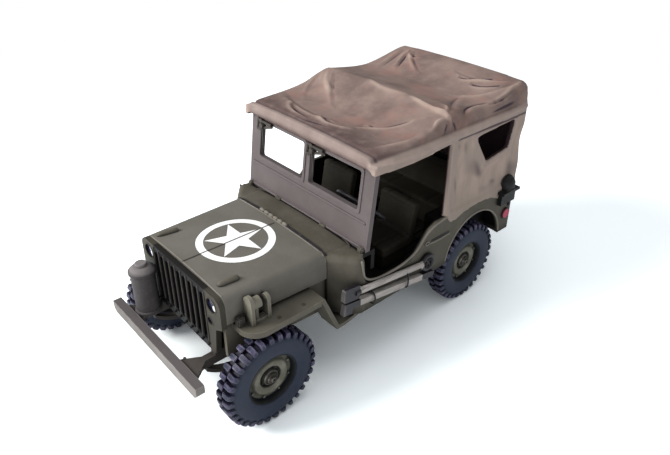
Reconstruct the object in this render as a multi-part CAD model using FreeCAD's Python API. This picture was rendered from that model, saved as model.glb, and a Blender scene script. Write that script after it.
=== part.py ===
"""Hand-painted 1:56 model of a quarter-ton 4x4 army car with its canvas top up.

Millimetres. The front points to -Y, the car's left side to +X, up is +Z.
Lengthways places are stations: millimetres behind the front axle. The finished
pieces are moved together, so that the origin is on the ground under the middle
of the model.
"""
import FreeCAD, Part
import math
import os

V = FreeCAD.Vector
CUT = 1.0                    # cutting shapes reach this far past what they cut

# ---------------------------------------------------------------- wheels and axles
WHEELBASE = 36.3
TRACK_HALF = 11.3            # middle plane of a wheel from the centre line
TYRE_RADIUS = 6.4            # to the tips of the lugs
TYRE_WIDTH = 2.7
TYRE_BEAD_RADIUS = 3.35      # where tyre and rim meet
LUG_DEPTH = 0.6
LUG_COUNT = 24               # on each side of the tread
SHOULDER_WIDTH = 0.42        # plain band between the lugs and the sidewall
SHOULDER_DROP = 0.55         # the sidewall's edge below the roots of the lugs
RIM_WALL = 0.3
RIM_INNER = 1.1              # edges of the rim, inboard and outboard of the middle plane
RIM_OUTER = 0.45
DISC_WEB = 0.4
DISC_DISH = -0.15            # inner face of the web, outboard of the middle plane
HUB_RADIUS = 1.15
HUB_NUT_RADIUS = 0.62
HUB_NUT_LENGTH = 0.35
HUB_SET_IN = 0.1             # end of the hub inside the tyre's side
STUB_RADIUS = 0.55
STUB_CLEARANCE = 0.05        # running fit of a wheel on its stub
STUB_END_GAP = 0.15
KNUCKLE_RADIUS = 1.3
KNUCKLE_LENGTH = 1.1
WHEEL_GAP = 0.15             # knuckle to hub
AXLE_TUBE_RADIUS = 0.8
DIFF_RADIUS = 1.8
DIFF_OFFSET = -2.6           # the drive runs to the right of the centre line
DIFF_NOSE_RADIUS = 0.8
DIFF_NOSE_LENGTH = 2.6
AXLE_HEIGHT = TYRE_RADIUS

# ---------------------------------------------------------------- chassis
RAIL_HALF = 6.8              # outer face of a rail
RAIL_WIDTH = 0.9
RAIL_TOP = 9.4
RAIL_HEIGHT = 1.7
HORN_TOP = 8.9               # rails and gussets ahead of the grille
RAIL_REAR = 44.2
CROSS_MEMBER_STATIONS = (-2.6, 14.6, 27.0, 43.2)
CROSS_MEMBER_LENGTH = 1.0
CROSS_MEMBER_HEIGHT = 0.7
GUSSET_INNER = 4.6
GUSSET_OUTER = 8.6
GUSSET_REAR = -5.4
GUSSET_THICKNESS = 0.5
BUMPER_HALF = 10.3
BUMPER_FRONT = -8.7
BUMPER_DEPTH = 1.1
RAIL_FRONT = BUMPER_FRONT + BUMPER_DEPTH
BUMPER_HEIGHT = 1.6
BUMPER_TOP = 9.2
BUMPER_CHAMFER = 0.5
SPRING_HALF_LENGTH = 5.4
SPRING_WIDTH = 1.0
SPRING_THICKNESS = 0.55

# ---------------------------------------------------------------- power train, seen from below
SUMP = dict(half=1.7, front=2.1, rear=8.0, bottom=5.6)
GEARBOX = dict(half=1.6, rear=13.6, bottom=6.2)
TRANSFER = dict(right=-3.6, left=1.3, rear=17.4, bottom=5.3)
SKID_HALF = 3.6
SKID_FRONT = 12.4
SKID_REAR = 18.6
SKID_THICKNESS = 0.3
SHAFT_RADIUS = 0.4
MUFFLER_RADIUS = 0.85
MUFFLER_X = 4.5
MUFFLER_HEIGHT = 7.9
MUFFLER_FRONT = 18.5
MUFFLER_REAR = 25.5
PIPE_RADIUS = 0.35
PIPE_FRONT = 8.5
PIPE_REAR = 31.5
HANGER_INSET = 1.0           # hangers from the muffler's ends
HANGER_LENGTH = 0.6
HANGER_THICKNESS = 0.3

# ---------------------------------------------------------------- tub
WALL = 0.6
BODY_HALF = 13.1
BODY_BOTTOM = RAIL_TOP
TUB_TOP = 17.5
TUB_FRONT = 13.7
TUB_REAR = 45.3
SILL_TOP = 13.4
DOOR_SILL_REAR = 22.4
DOOR_RISE_STATION = 25.8
DOOR_END_STATION = 29.4
DOOR_FRONT_SET_IN = 0.2      # lower front corner behind the tub's front
DOOR_FRONT_LEAN = 0.9        # the front edge leans forward by this much
DOOR_SHOULDER_DROP = 0.6     # upper rear corner below the tub's rim
DOOR_CORNER = 1.9
ARCH_RADIUS = 6.45
ARCH_HEIGHT = 9.1            # centre of the wheel arch
WHEELHOUSE_INNER = 9.2
WHEELHOUSE_FRONT = 29.2
WHEELHOUSE_REAR = 43.6
WHEELHOUSE_TOP = 16.3

# ---------------------------------------------------------------- cowl, bonnet, grille, fenders
COWL_FRONT = 10.45
COWL_FRONT_HALF = 9.9
COWL_FLARE_STATION = 13.0
COWL_FLARE_CORNER = 1.5
COWL_REAR = 16.1
COWL_TOP = 17.8
COWL_EDGE = 0.9
COWL_PANEL_HALF = 10.2       # raised panel where it meets the screen
COWL_PANEL_TOP = 17.9
DASH_BOTTOM = 14.9
GRILLE_FRONT = -4.1
GRILLE_THICKNESS = 0.7
GRILLE_HALF = 9.05
GRILLE_TOP = 18.0
GRILLE_WAIST_TOP = 14.0
GRILLE_WAIST_BOTTOM = 13.3
GRILLE_WAIST_HALF = 7.7
GRILLE_FOOT_HALF = 7.1
GRILLE_CORNER = 1.2
SLOT_COUNT = 9
SLOT_PITCH = 1.3
SLOT_WIDTH = 0.8
SLOT_BOTTOM = 10.5
SLOT_TOP = 17.3
HEADLAMP_X = 7.2
HEADLAMP_HEIGHT = 16.5
HEADLAMP_RADIUS = 0.95
MARKER_X = 6.6
MARKER_DROP = 2.5            # marker lamp below the headlamp
MARKER_RADIUS = 0.5
LAMP_RECESS = 0.2            # lens behind the front of the grille
LAMP_FIT = 0.02
BONNET_REAR = 10.4
BONNET_REAR_HALF = 9.8
BONNET_TOP = 18.0
BONNET_SIDE_BOTTOM = 14.5
BONNET_CORNER = 1.2
BONNET_CROWN = 0.3
FENDER_SET_IN = 0.75         # outer edge inside the side of the body
FENDER_HALF = BODY_HALF - FENDER_SET_IN
FENDER_FRONT = -2.5
FENDER_TOP = 14.05
FENDER_THICKNESS = 0.5
FENDER_LIP = 0.75
FENDER_LIP_WIDTH = 0.35
FENDER_CORNER = 2.4
FENDER_REAR = 8.0
SLOPE_FOOT_STATION = 10.3
SLOPE_FOOT_HEIGHT = 8.7
SLOPE_SET_BACK = 0.35        # underside of the slope ahead of its top, for an even plate
STEP_REAR = 15.3
STEP_TAPER = 0.6
FENDER_WALL_GAP = 0.1        # bonnet side to the panel under it
CONDENSER_X = -6.05
CONDENSER_STATION = -5.9
CONDENSER_RADIUS = 1.5
CONDENSER_RIM = 0.12         # rims stand out from the can
CONDENSER_TOP = 16.2
CONDENSER_RIM_TOP = 15.2
CONDENSER_RIM_HEIGHT = 0.5
CONDENSER_DOME = 0.6         # height of the sloping cap
CONDENSER_CAP_RADIUS = 1.1
CONDENSER_KNOB_RADIUS = 0.7
CONDENSER_FOOT_RIM = 0.35
BLACKOUT_X = 10.0
BLACKOUT_RADIUS = 0.72
BLACKOUT_DEPTH = 1.05
BLACKOUT_HEIGHT = 2.5        # centre above the fender
BLACKOUT_STEM_RADIUS = 0.35
BLACKOUT_FOOT = 0.25
BLACKOUT_FOOT_HALF = 0.45
GUARD_STATION = -1.2         # plate in front of the lamp
GUARD_HALF = 0.75
GUARD_THICKNESS = 0.45
GUARD_HEIGHT = 3.7
GUARD_CORNER = 0.7
SHIELD_STATION = 1.05        # plate behind the lamp
SHIELD_HALF = 0.6
SHIELD_THICKNESS = 0.45
SHIELD_HEIGHT = 3.05
SHIELD_CORNER = 0.55

# ---------------------------------------------------------------- windscreen
SCREEN_STATION = 14.5        # front face at its foot
SCREEN_RAKE = 7.0            # degrees, leaning to the rear about its foot
SCREEN_HALF = 12.35
SCREEN_TOP = 28.7            # where the canvas lies on it
SCREEN_THICKNESS = 0.7
SCREEN_CORNER = 0.5
SCREEN_SPARE = 1.0           # drawn beyond foot and top, and cut off level
PANE_INNER = 0.65
PANE_OUTER = 10.15
PANE_BOTTOM = 22.8           # pane heights are measured up the screen, before it is raked
PANE_TOP = 27.9
PANE_CORNER = 0.35
PANE_FRAME = 0.4
PANE_FRAME_RISE = 0.12
WIPER_RADIUS = 0.22
WIPER_INSET = 0.5            # pivot inside the pane's right corner
WIPER_ARM = 2.2
WIPER_DROP = 1.3
WIPER_STANDOFF = 0.27        # middle of the arm ahead of the pane's frame
WIPER_BOSS_RADIUS = 0.35
WIPER_BOSS_DEPTH = 0.5

# ---------------------------------------------------------------- canvas top
CANVAS = 0.7
# sections of the roof's outer face:
# station, set-in from the side of the body, eave height, corner height, middle height
ROOF_SECTIONS = (
    (14.9, 0.05, 28.9, 30.2, 30.5),
    (21.5, 0.0, 28.6, 31.1, 31.0),
    (28.9, 0.15, 29.0, 32.4, 32.9),
)
# the same for the rear enclosure, whose sides go down to the tub
ENCLOSURE_SECTIONS = (
    (28.9, 0.15, 29.0, 32.4, 32.9),
    (37.4, 0.15, 29.3, 32.5, 32.2),
    (45.9, 0.15, 29.6, 33.1, 33.4),
)
ROOF_CORNER = 1.3
HEM = 0.6                    # upright band along the edge of the roof
ROOF_TAPER = 0.35
# corners of a side window: station, height
SIDE_WINDOW = ((34.1, 27.9), (43.0, 28.4), (42.1, 24.1), (37.2, 23.4))
REAR_WINDOW_HALF = 4.6
REAR_WINDOW_BOTTOM = 22.4
REAR_WINDOW_TOP = 27.4
WINDOW_CORNER = 0.5

# ---------------------------------------------------------------- inside
SEAT_X = 6.3
SEAT_HALF = 3.3
SEAT_FRONT = 20.6
SEAT_LENGTH = 6.0
SEAT_CUSHION_TOP = 14.0
SEAT_CUSHION = 1.5
SEAT_BACK_TOP = 18.8
SEAT_BACK = 1.1
SEAT_BACK_LEAN = 1.0
SEAT_BACK_CORNER = 0.4
SEAT_EDGE = 0.35
SEAT_LEG_INSET = 0.7
BENCH_HALF = 8.0
BENCH_FRONT = 35.4
BENCH_LENGTH = 5.0
BENCH_TOP = 13.8
BENCH_BACK_TOP = 18.6
BENCH_BACK_LEAN = 0.8
BENCH_BACK_SINK = 0.5        # foot of the back below the top of the bench
WHEEL_X = 6.3                # steering wheel
WHEEL_STATION = 19.4
WHEEL_HEIGHT = 20.2
WHEEL_RIM_RADIUS = 3.5
WHEEL_RIM_TUBE = 0.25
COLUMN_RADIUS = 0.3
COLUMN_FOOT_HEIGHT = 16.6
# x, station at the floor, height, lean to the rear
LEVERS = ((0.6, 17.4, 5.6, 2.6), (-0.9, 18.6, 3.6, 0.5), (-1.8, 18.6, 3.6, 0.5))
LEVER_RADIUS = 0.22
LEVER_KNOB = 0.42
LEVER_PLATE = 0.3
LEVER_PLATE_EDGE = 0.5
TUNNEL_HALF = 2.6
TUNNEL_REAR = 19.6
TUNNEL_HEIGHT = 1.2

# ---------------------------------------------------------------- tools on the left side
# both lie against the body's side with their handles falling gently to the rear
SHOVEL_FRONT = 9.9
SHOVEL_FRONT_HEIGHT = 14.0
SHOVEL_GRIP_STATION = 25.4
SHOVEL_GRIP_HEIGHT = 12.0
SHOVEL_BLADE_LENGTH = 2.7
SHOVEL_BLADE_HALF = 0.95
SHOVEL_BLADE_THICKNESS = 0.6
SHOVEL_BLADE_CORNER = 0.4
SHOVEL_SOCKET = 0.8          # handle let into the blade
HANDLE_RADIUS = 0.42
GRIP_RADIUS = 1.05
GRIP_TUBE = 0.3
AXE_FRONT = 11.3
AXE_REAR = 26.7
AXE_FRONT_DROP = 1.8         # the axe's two ends below the shovel's
AXE_REAR_DROP = 2.3
AXE_HANDLE_HEIGHT = 0.9
AXE_THICKNESS = 0.7
AXE_HEAD_LENGTH = 1.4
AXE_EDGE_HALF = 1.2          # half the length of the cutting edge

# ---------------------------------------------------------------- rear end
SPARE_X = -4.6
SPARE_HEIGHT = 15.4
SPARE_STANDOFF = 0.7
CARRIER_HALF = 1.6
CARRIER_PLATE = 0.35
CARRIER_DROP = 3.4           # plate below the spare wheel's centre, and below the tub's rim
CARRIER_RIM_GAP = 0.2
FUEL_CAN_X = 5.6             # fuel can in its tray
FUEL_CAN_HALF = 3.0
FUEL_CAN_DEPTH = 2.7
FUEL_CAN_BOTTOM = 10.1
FUEL_CAN_TOP = 17.4
FUEL_CAN_EDGE = 0.5          # rounded corners of the body, and of its sloping shoulder
FUEL_CAN_CORNER = 0.4
FUEL_CAN_SLOPE = 1.2
FUEL_CAN_SLOPE_DROP = 0.7
FUEL_CAN_HANDLE = 0.4        # thickness of the handle plate
FUEL_CAN_HANDLE_RISE = 0.7
FUEL_CAN_HANDLE_SINK = 0.1
FUEL_CAN_HANDLE_RIGHT = 0.9  # ends of the handle inside the can's sides
FUEL_CAN_HANDLE_LEFT = 2.0
TRAY_WALL = 0.35
TRAY_HEIGHT = 1.2
TRAY_GAP = 0.05
TRAY_BACK_HALF = 1.5
TRAY_BACK_DROP = 0.4         # back plate below the tub's rim
BUMPERETTE_X = 9.4
BUMPERETTE_HALF = 2.0
BUMPERETTE_DEPTH = 1.5
BUMPERETTE_BOTTOM = 8.0
BUMPERETTE_REACH = 1.2       # mounting plate, forward under the floor
BUMPERETTE_PLATE = 0.35
BUMPERETTE_FOOT = 0.5        # depth of the buffer under the rear panel
BUMPERETTE_BEVEL = 0.6
BUMPERETTE_CORNER = 0.5
BUMPERETTE_OUTER_DEPTH = 0.9
PINTLE_HEIGHT = 8.55
PINTLE_SHANK = 0.5
PINTLE_EYE_OUTER = 1.0
PINTLE_EYE = 0.5
PINTLE_EYE_SINK = 0.2        # eye let into the shank's end
PINTLE_REACH = 0.4           # shank behind the rear panel
PINTLE_THICKNESS = 0.8
TAIL_LAMP_X = 11.6
TAIL_LAMP_HEIGHT = 11.4
TAIL_LAMP_RADIUS = 0.75
TAIL_LAMP_DEPTH = 0.5
REFLECTOR_STATION = 43.9
REFLECTOR_HEIGHT = 12.6
REFLECTOR_RADIUS = 0.75
REFLECTOR_DEPTH = 0.35
ANTENNA_STATION = 43.2
ANTENNA_RADIUS = 1.3         # drum and dome, cut flat at the side of the body
ANTENNA_HEIGHT = 16.9        # underside of the flange
ANTENNA_FLANGE = 0.4
ANTENNA_FLANGE_FRONT = 2.2   # flange ahead of the drum's middle, and behind it
ANTENNA_FLANGE_REAR = 1.9
ANTENNA_BLOCK = 0.8          # block below the flange
ANTENNA_BLOCK_DROP = 1.9
ANTENNA_BLOCK_INSET = 0.3
ANTENNA_DRUM_HEIGHT = 0.9

ORIGIN_STATION = (BUMPER_FRONT + TUB_REAR + SPARE_STANDOFF + TYRE_WIDTH) / 2


# ---------------------------------------------------------------- drawing helpers
def block(x0, x1, y0, y1, z0, z1):
    return Part.makeBox(x1 - x0, y1 - y0, z1 - z0, V(x0, y0, z0))


def outline(corners, place):
    """A closed wire through corners (a, b) or (a, b, radius); place turns (a, b) into a point."""
    flat = [V(c[0], c[1], 0) for c in corners]
    edges = []
    ends = []
    for i, corner in enumerate(corners):
        here, before, after = flat[i], flat[i - 1], flat[(i + 1) % len(flat)]
        radius = corner[2] if len(corner) > 2 else 0
        if radius == 0:
            ends.append((here, None, here))
            continue
        to_before = (before - here).normalize()
        to_after = (after - here).normalize()
        half = to_before.getAngle(to_after) / 2
        reach = radius / math.tan(half)
        inward = (to_before + to_after).normalize()
        middle = here + inward * (radius / math.sin(half) - radius)
        ends.append((here + to_before * reach, middle, here + to_after * reach))
    for i, (start, middle, end) in enumerate(ends):
        if middle is not None:
            edges.append(Part.Arc(place(start), place(middle), place(end)).toShape())
        following = ends[(i + 1) % len(ends)][0]
        if (following - end).Length > 1e-6:
            edges.append(Part.makeLine(place(end), place(following)))
    return Part.Wire(edges)


def slab_x(corners, x0, x1):
    """An outline given as (station, height), with its thickness along X."""
    wire = outline(corners, lambda p: V(x0, p.x, p.y))
    return Part.Face(wire).extrude(V(x1 - x0, 0, 0))


def slab_y(corners, y0, y1):
    """An outline given as (x, height), with its thickness along Y."""
    wire = outline(corners, lambda p: V(p.x, y0, p.y))
    return Part.Face(wire).extrude(V(0, y1 - y0, 0))


def slab_z(corners, z0, z1):
    """An outline given as (x, station), with its thickness along Z."""
    wire = outline(corners, lambda p: V(p.x, p.y, z0))
    return Part.Face(wire).extrude(V(0, 0, z1 - z0))


def rod(start, end, radius):
    axis = end - start
    return Part.makeCylinder(radius, axis.Length, start, axis)


def fused(shapes):
    whole = shapes[0]
    for shape in shapes[1:]:
        whole = whole.fuse(shape)
    return whole.removeSplitter()


def mirrored(shape):
    return shape.mirror(V(0, 0, 0), V(1, 0, 0))


def pair(shape):
    return Part.makeCompound([shape, mirrored(shape)])


pieces = {}


def keep(name, shape):
    pieces[name] = shape


# ---------------------------------------------------------------- wheels
def turned(profile, centre, side):
    """A ring turned about X: profile (outboard distance, radius), at a wheel's centre."""
    points = [V(centre.x + side * u, centre.y, centre.z + r) for u, r in profile]
    face = Part.Face(Part.makePolygon(points + points[:1]))
    return face.revolve(centre, V(1, 0, 0), 360)


def faceted_ring(outboard_0, radius_0, outboard_1, radius_1, centre, side, turn=0.0):
    """A solid slice of a wheel between two polygons with LUG_COUNT sides."""
    rings = []
    for outboard, radius in ((outboard_0, radius_0), (outboard_1, radius_1)):
        points = []
        for i in range(LUG_COUNT):
            angle = 2 * math.pi * (i + turn) / LUG_COUNT
            points.append(centre + V(side * outboard, radius * math.cos(angle), radius * math.sin(angle)))
        rings.append(Part.makePolygon(points + points[:1]))
    return Part.makeLoft(rings, True, True)


def lug_row(outboard_0, outboard_1, centre, side, turn):
    """One row of lugs: a toothed slice of the tread."""
    root = TYRE_RADIUS - LUG_DEPTH
    points = []
    for i in range(LUG_COUNT):
        # a tooth takes half the pitch, the gap the other half
        for share, radius in ((0.02, root), (0.10, TYRE_RADIUS), (0.52, TYRE_RADIUS), (0.60, root)):
            angle = 2 * math.pi * (i + turn + share) / LUG_COUNT
            points.append(centre + V(side * outboard_0, radius * math.cos(angle), radius * math.sin(angle)))
    face = Part.Face(Part.makePolygon(points + points[:1]))
    return face.extrude(V(side * (outboard_1 - outboard_0), 0, 0))


def tyre(centre, side):
    half = TYRE_WIDTH / 2
    tread = half - SHOULDER_WIDTH
    root = TYRE_RADIUS - LUG_DEPTH
    rows = [
        lug_row(0, tread, centre, side, 0.0),
        lug_row(-tread, 0, centre, side, 0.5),
        faceted_ring(tread, root, half, root - SHOULDER_DROP, centre, side),
        faceted_ring(-half, root - SHOULDER_DROP, -tread, root, centre, side),
    ]
    bore = Part.makeCylinder(TYRE_BEAD_RADIUS, TYRE_WIDTH * 2, centre - V(TYRE_WIDTH, 0, 0), V(1, 0, 0))
    return fused(rows).cut(bore)


def disc(centre, side, bored):
    inner = TYRE_BEAD_RADIUS - RIM_WALL
    web = DISC_DISH + DISC_WEB
    cap = TYRE_WIDTH / 2 - HUB_SET_IN
    shoulder = cap - HUB_NUT_LENGTH
    back = -TYRE_WIDTH / 2 if bored else DISC_DISH
    profile = [(-RIM_INNER, inner), (-RIM_INNER, TYRE_BEAD_RADIUS), (RIM_OUTER, TYRE_BEAD_RADIUS),
               (RIM_OUTER, inner), (web, inner), (web, HUB_RADIUS), (shoulder, HUB_RADIUS),
               (shoulder, HUB_NUT_RADIUS), (cap, HUB_NUT_RADIUS), (cap, 0), (back, 0), (back, HUB_RADIUS),
               (DISC_DISH, HUB_RADIUS), (DISC_DISH, inner)]
    if not bored:
        profile = [p for p in profile if p != (back, HUB_RADIUS)]
    points = [V(centre.x + side * u, centre.y, centre.z + r) for u, r in profile]
    shape = Part.Face(Part.makePolygon(points + points[:1])).revolve(centre, V(1, 0, 0), 360)
    if bored:
        start = centre - V(side * TYRE_WIDTH / 2, 0, 0)
        depth = TYRE_WIDTH / 2 + STUB_REACH + STUB_END_GAP
        shape = shape.cut(Part.makeCylinder(STUB_RADIUS + STUB_CLEARANCE, depth, start, V(side, 0, 0)))
    return shape


STUB_REACH = DISC_DISH + DISC_WEB - STUB_END_GAP
WHEELS = (
    ("front_left", 0, 1),
    ("front_right", 0, -1),
    ("rear_left", WHEELBASE, 1),
    ("rear_right", WHEELBASE, -1),
)
for name, station, side in WHEELS:
    hub = V(side * TRACK_HALF, station, AXLE_HEIGHT)
    keep("tyre_" + name, tyre(hub, side))
    keep("disc_" + name, disc(hub, side, True))


# ---------------------------------------------------------------- axles
def axle(station, nose):
    """Tube, final drive and the knuckles that carry the wheel stubs; nose is +1 to the rear."""
    knuckle_end = TRACK_HALF - TYRE_WIDTH / 2 - WHEEL_GAP
    knuckle_start = knuckle_end - KNUCKLE_LENGTH
    middle = V(DIFF_OFFSET, station, AXLE_HEIGHT)
    tube_end = V(knuckle_start, station, AXLE_HEIGHT)
    parts = [
        rod(V(-tube_end.x, tube_end.y, tube_end.z), tube_end, AXLE_TUBE_RADIUS),
        Part.makeSphere(DIFF_RADIUS, middle),
        rod(middle, middle + V(0, nose * DIFF_NOSE_LENGTH, 0), DIFF_NOSE_RADIUS),
    ]
    for side in (1, -1):
        inner = V(side * knuckle_start, station, AXLE_HEIGHT)
        outer = V(side * knuckle_end, station, AXLE_HEIGHT)
        parts.append(rod(inner, outer, KNUCKLE_RADIUS))
        parts.append(rod(outer, V(side * (TRACK_HALF + STUB_REACH), station, AXLE_HEIGHT), STUB_RADIUS))
    return fused(parts)


keep("front_axle", axle(0, 1))
keep("rear_axle", axle(WHEELBASE, -1))


def spring(station):
    """A bowed leaf spring: its ends under the rail, its middle under the axle tube."""
    x0 = RAIL_HALF - RAIL_WIDTH / 2 - SPRING_WIDTH / 2
    end = RAIL_TOP - RAIL_HEIGHT
    middle = AXLE_HEIGHT - AXLE_TUBE_RADIUS
    front, rear = station - SPRING_HALF_LENGTH, station + SPRING_HALF_LENGTH
    top = Part.Arc(V(x0, front, end), V(x0, station, middle), V(x0, rear, end)).toShape()
    low = Part.Arc(V(x0, rear, end - SPRING_THICKNESS), V(x0, station, middle - SPRING_THICKNESS),
                   V(x0, front, end - SPRING_THICKNESS)).toShape()
    wire = Part.Wire([top, Part.makeLine(V(x0, rear, end), V(x0, rear, end - SPRING_THICKNESS)), low,
                      Part.makeLine(V(x0, front, end - SPRING_THICKNESS), V(x0, front, end))])
    return pair(Part.Face(wire).extrude(V(SPRING_WIDTH, 0, 0)))


keep("front_springs", spring(0))
keep("rear_springs", spring(WHEELBASE))


# ---------------------------------------------------------------- chassis frame and bumper
def chassis_frame():
    rail_inner = RAIL_HALF - RAIL_WIDTH
    bottom = RAIL_TOP - RAIL_HEIGHT
    parts = []
    for side in (1, -1):
        rail = block(rail_inner, RAIL_HALF, GRILLE_FRONT, RAIL_REAR, bottom, RAIL_TOP)
        horn = block(rail_inner, RAIL_HALF, RAIL_FRONT, GRILLE_FRONT, bottom, HORN_TOP)
        gusset = slab_z([(rail_inner, GUSSET_REAR), (GUSSET_INNER, RAIL_FRONT), (GUSSET_OUTER, RAIL_FRONT),
                         (RAIL_HALF, GUSSET_REAR)], HORN_TOP - GUSSET_THICKNESS, HORN_TOP)
        for shape in (rail, horn, gusset):
            parts.append(shape if side == 1 else mirrored(shape))
    for station in CROSS_MEMBER_STATIONS:
        parts.append(block(-rail_inner, rail_inner, station, station + CROSS_MEMBER_LENGTH,
                           RAIL_TOP - CROSS_MEMBER_HEIGHT, RAIL_TOP))
    return fused(parts)


keep("chassis_frame", chassis_frame())


def front_bumper():
    low = BUMPER_TOP - BUMPER_HEIGHT
    corners = [(-BUMPER_HALF, BUMPER_TOP), (BUMPER_HALF, BUMPER_TOP),
               (BUMPER_HALF, low + BUMPER_CHAMFER), (BUMPER_HALF - BUMPER_CHAMFER, low),
               (-BUMPER_HALF + BUMPER_CHAMFER, low), (-BUMPER_HALF, low + BUMPER_CHAMFER)]
    return slab_y(corners, BUMPER_FRONT, BUMPER_FRONT + BUMPER_DEPTH)


keep("front_bumper", front_bumper())


# ---------------------------------------------------------------- power train and exhaust
def drivetrain():
    """Sump, gearbox, transfer case with its skid plate, and the shafts to the axles."""
    top = RAIL_TOP - CROSS_MEMBER_HEIGHT
    sump, gearbox, transfer = SUMP, GEARBOX, TRANSFER
    low = transfer["bottom"]

    def on_shaft(station):
        return V(DIFF_OFFSET, station, AXLE_HEIGHT)

    return fused([
        block(-sump["half"], sump["half"], sump["front"], sump["rear"], sump["bottom"], top),
        block(-gearbox["half"], gearbox["half"], sump["rear"], gearbox["rear"], gearbox["bottom"], top),
        block(transfer["right"], transfer["left"], gearbox["rear"], transfer["rear"], low, top),
        block(-SKID_HALF, SKID_HALF, SKID_FRONT, SKID_REAR, low - SKID_THICKNESS, low),
        rod(on_shaft(DIFF_NOSE_LENGTH), on_shaft(gearbox["rear"]), SHAFT_RADIUS),
        rod(on_shaft(transfer["rear"]), on_shaft(WHEELBASE - DIFF_NOSE_LENGTH), SHAFT_RADIUS),
    ])


keep("drivetrain", drivetrain())


def exhaust():
    """Pipe and muffler, hung on the left rail."""
    def at(station):
        return V(MUFFLER_X, station, MUFFLER_HEIGHT)

    parts = [
        rod(at(PIPE_FRONT), at(PIPE_REAR), PIPE_RADIUS),
        rod(at(MUFFLER_FRONT), at(MUFFLER_REAR), MUFFLER_RADIUS),
    ]
    for start in (MUFFLER_FRONT + HANGER_INSET, MUFFLER_REAR - HANGER_INSET - HANGER_LENGTH):
        parts.append(block(MUFFLER_X, RAIL_HALF - RAIL_WIDTH, start, start + HANGER_LENGTH,
                           MUFFLER_HEIGHT - HANGER_THICKNESS / 2, MUFFLER_HEIGHT + HANGER_THICKNESS / 2))
    return fused(parts)


keep("exhaust", exhaust())


# ---------------------------------------------------------------- body tub
def cowl_plan(inset, front, rear):
    """Plan of the cowl: bonnet width in front, flaring to the full width of the body."""
    half = BODY_HALF - inset
    front_half = COWL_FRONT_HALF - inset
    flare = COWL_FLARE_STATION + inset / 2
    return [(-front_half, front), (front_half, front), (half, flare, COWL_FLARE_CORNER), (half, rear),
            (-half, rear), (-half, flare, COWL_FLARE_CORNER)]


def body_tub():
    inside = BODY_HALF - WALL
    rear_inside = TUB_REAR - WALL
    parts = [slab_z(cowl_plan(WALL, COWL_FRONT + WALL, rear_inside), BODY_BOTTOM, BODY_BOTTOM + WALL)]
    parts.append(block(-BODY_HALF, BODY_HALF, rear_inside, TUB_REAR, BODY_BOTTOM, TUB_TOP))
    side_panel = block(inside, BODY_HALF, TUB_FRONT, TUB_REAR, BODY_BOTTOM, TUB_TOP)
    door_front = TUB_FRONT + DOOR_FRONT_SET_IN
    doorway = slab_x([(door_front - DOOR_FRONT_LEAN, TUB_TOP + CUT), (door_front, SILL_TOP, DOOR_CORNER),
                      (DOOR_SILL_REAR, SILL_TOP, DOOR_CORNER),
                      (DOOR_RISE_STATION, TUB_TOP - DOOR_SHOULDER_DROP, DOOR_CORNER),
                      (DOOR_END_STATION, TUB_TOP + CUT)], inside - CUT, BODY_HALF + CUT)
    side_panel = side_panel.cut(doorway)
    wheelhouse = block(WHEELHOUSE_INNER, inside, WHEELHOUSE_FRONT, WHEELHOUSE_REAR,
                       BODY_BOTTOM, WHEELHOUSE_TOP)
    for shape in (side_panel, wheelhouse):
        parts += [shape, mirrored(shape)]
    parts.append(block(-TUNNEL_HALF, TUNNEL_HALF, COWL_FRONT + WALL, TUNNEL_REAR,
                       BODY_BOTTOM, BODY_BOTTOM + WALL + TUNNEL_HEIGHT))
    tub = fused(parts)
    wheel_space = block(WHEELHOUSE_INNER + WALL, inside, WHEELHOUSE_FRONT + WALL, WHEELHOUSE_REAR - WALL,
                        BODY_BOTTOM - CUT, WHEELHOUSE_TOP - WALL)
    arch = Part.makeCylinder(ARCH_RADIUS, BODY_HALF, V(inside - WALL / 3, WHEELBASE, ARCH_HEIGHT), V(1, 0, 0))
    for shape in (wheel_space, arch):
        tub = tub.cut(shape).cut(mirrored(shape))
    return tub.removeSplitter()


keep("body_tub", body_tub())


# ---------------------------------------------------------------- cowl
def bonnet_wire(station, half, top, inset, bottom):
    """Section of the bonnet: upright sides, rounded shoulders and a slightly crowned top."""
    half, top = half - inset, top - inset
    r = BONNET_CORNER - inset * 0.8
    shoulder = half - r
    bend = r * (1 - math.sqrt(0.5))

    def at(x, z):
        return V(x, station, z)

    edges = [
        Part.makeLine(at(-half, bottom), at(-half, top - r)),
        Part.Arc(at(-half, top - r), at(-half + bend, top - bend), at(-shoulder, top)).toShape(),
        Part.Arc(at(-shoulder, top), at(0, top + BONNET_CROWN), at(shoulder, top)).toShape(),
        Part.Arc(at(shoulder, top), at(half - bend, top - bend), at(half, top - r)).toShape(),
        Part.makeLine(at(half, top - r), at(half, bottom)),
        Part.makeLine(at(half, bottom), at(-half, bottom)),
    ]
    return Part.Wire(edges)


def cowl_panel():
    """The raised middle of the cowl's top, which carries the bonnet's section on to the screen."""
    low = COWL_TOP - WALL / 2
    foot = low - BONNET_CORNER
    wires = [bonnet_wire(COWL_FRONT, BONNET_REAR_HALF, BONNET_TOP, 0, foot),
             bonnet_wire(SCREEN_STATION, COWL_PANEL_HALF, COWL_PANEL_TOP, 0, foot)]
    filled = Part.makeLoft(wires, True, True)
    high = BONNET_TOP + BONNET_CROWN + CUT
    return filled.common(block(-BODY_HALF, BODY_HALF, COWL_FRONT, SCREEN_STATION, low, high))


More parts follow.
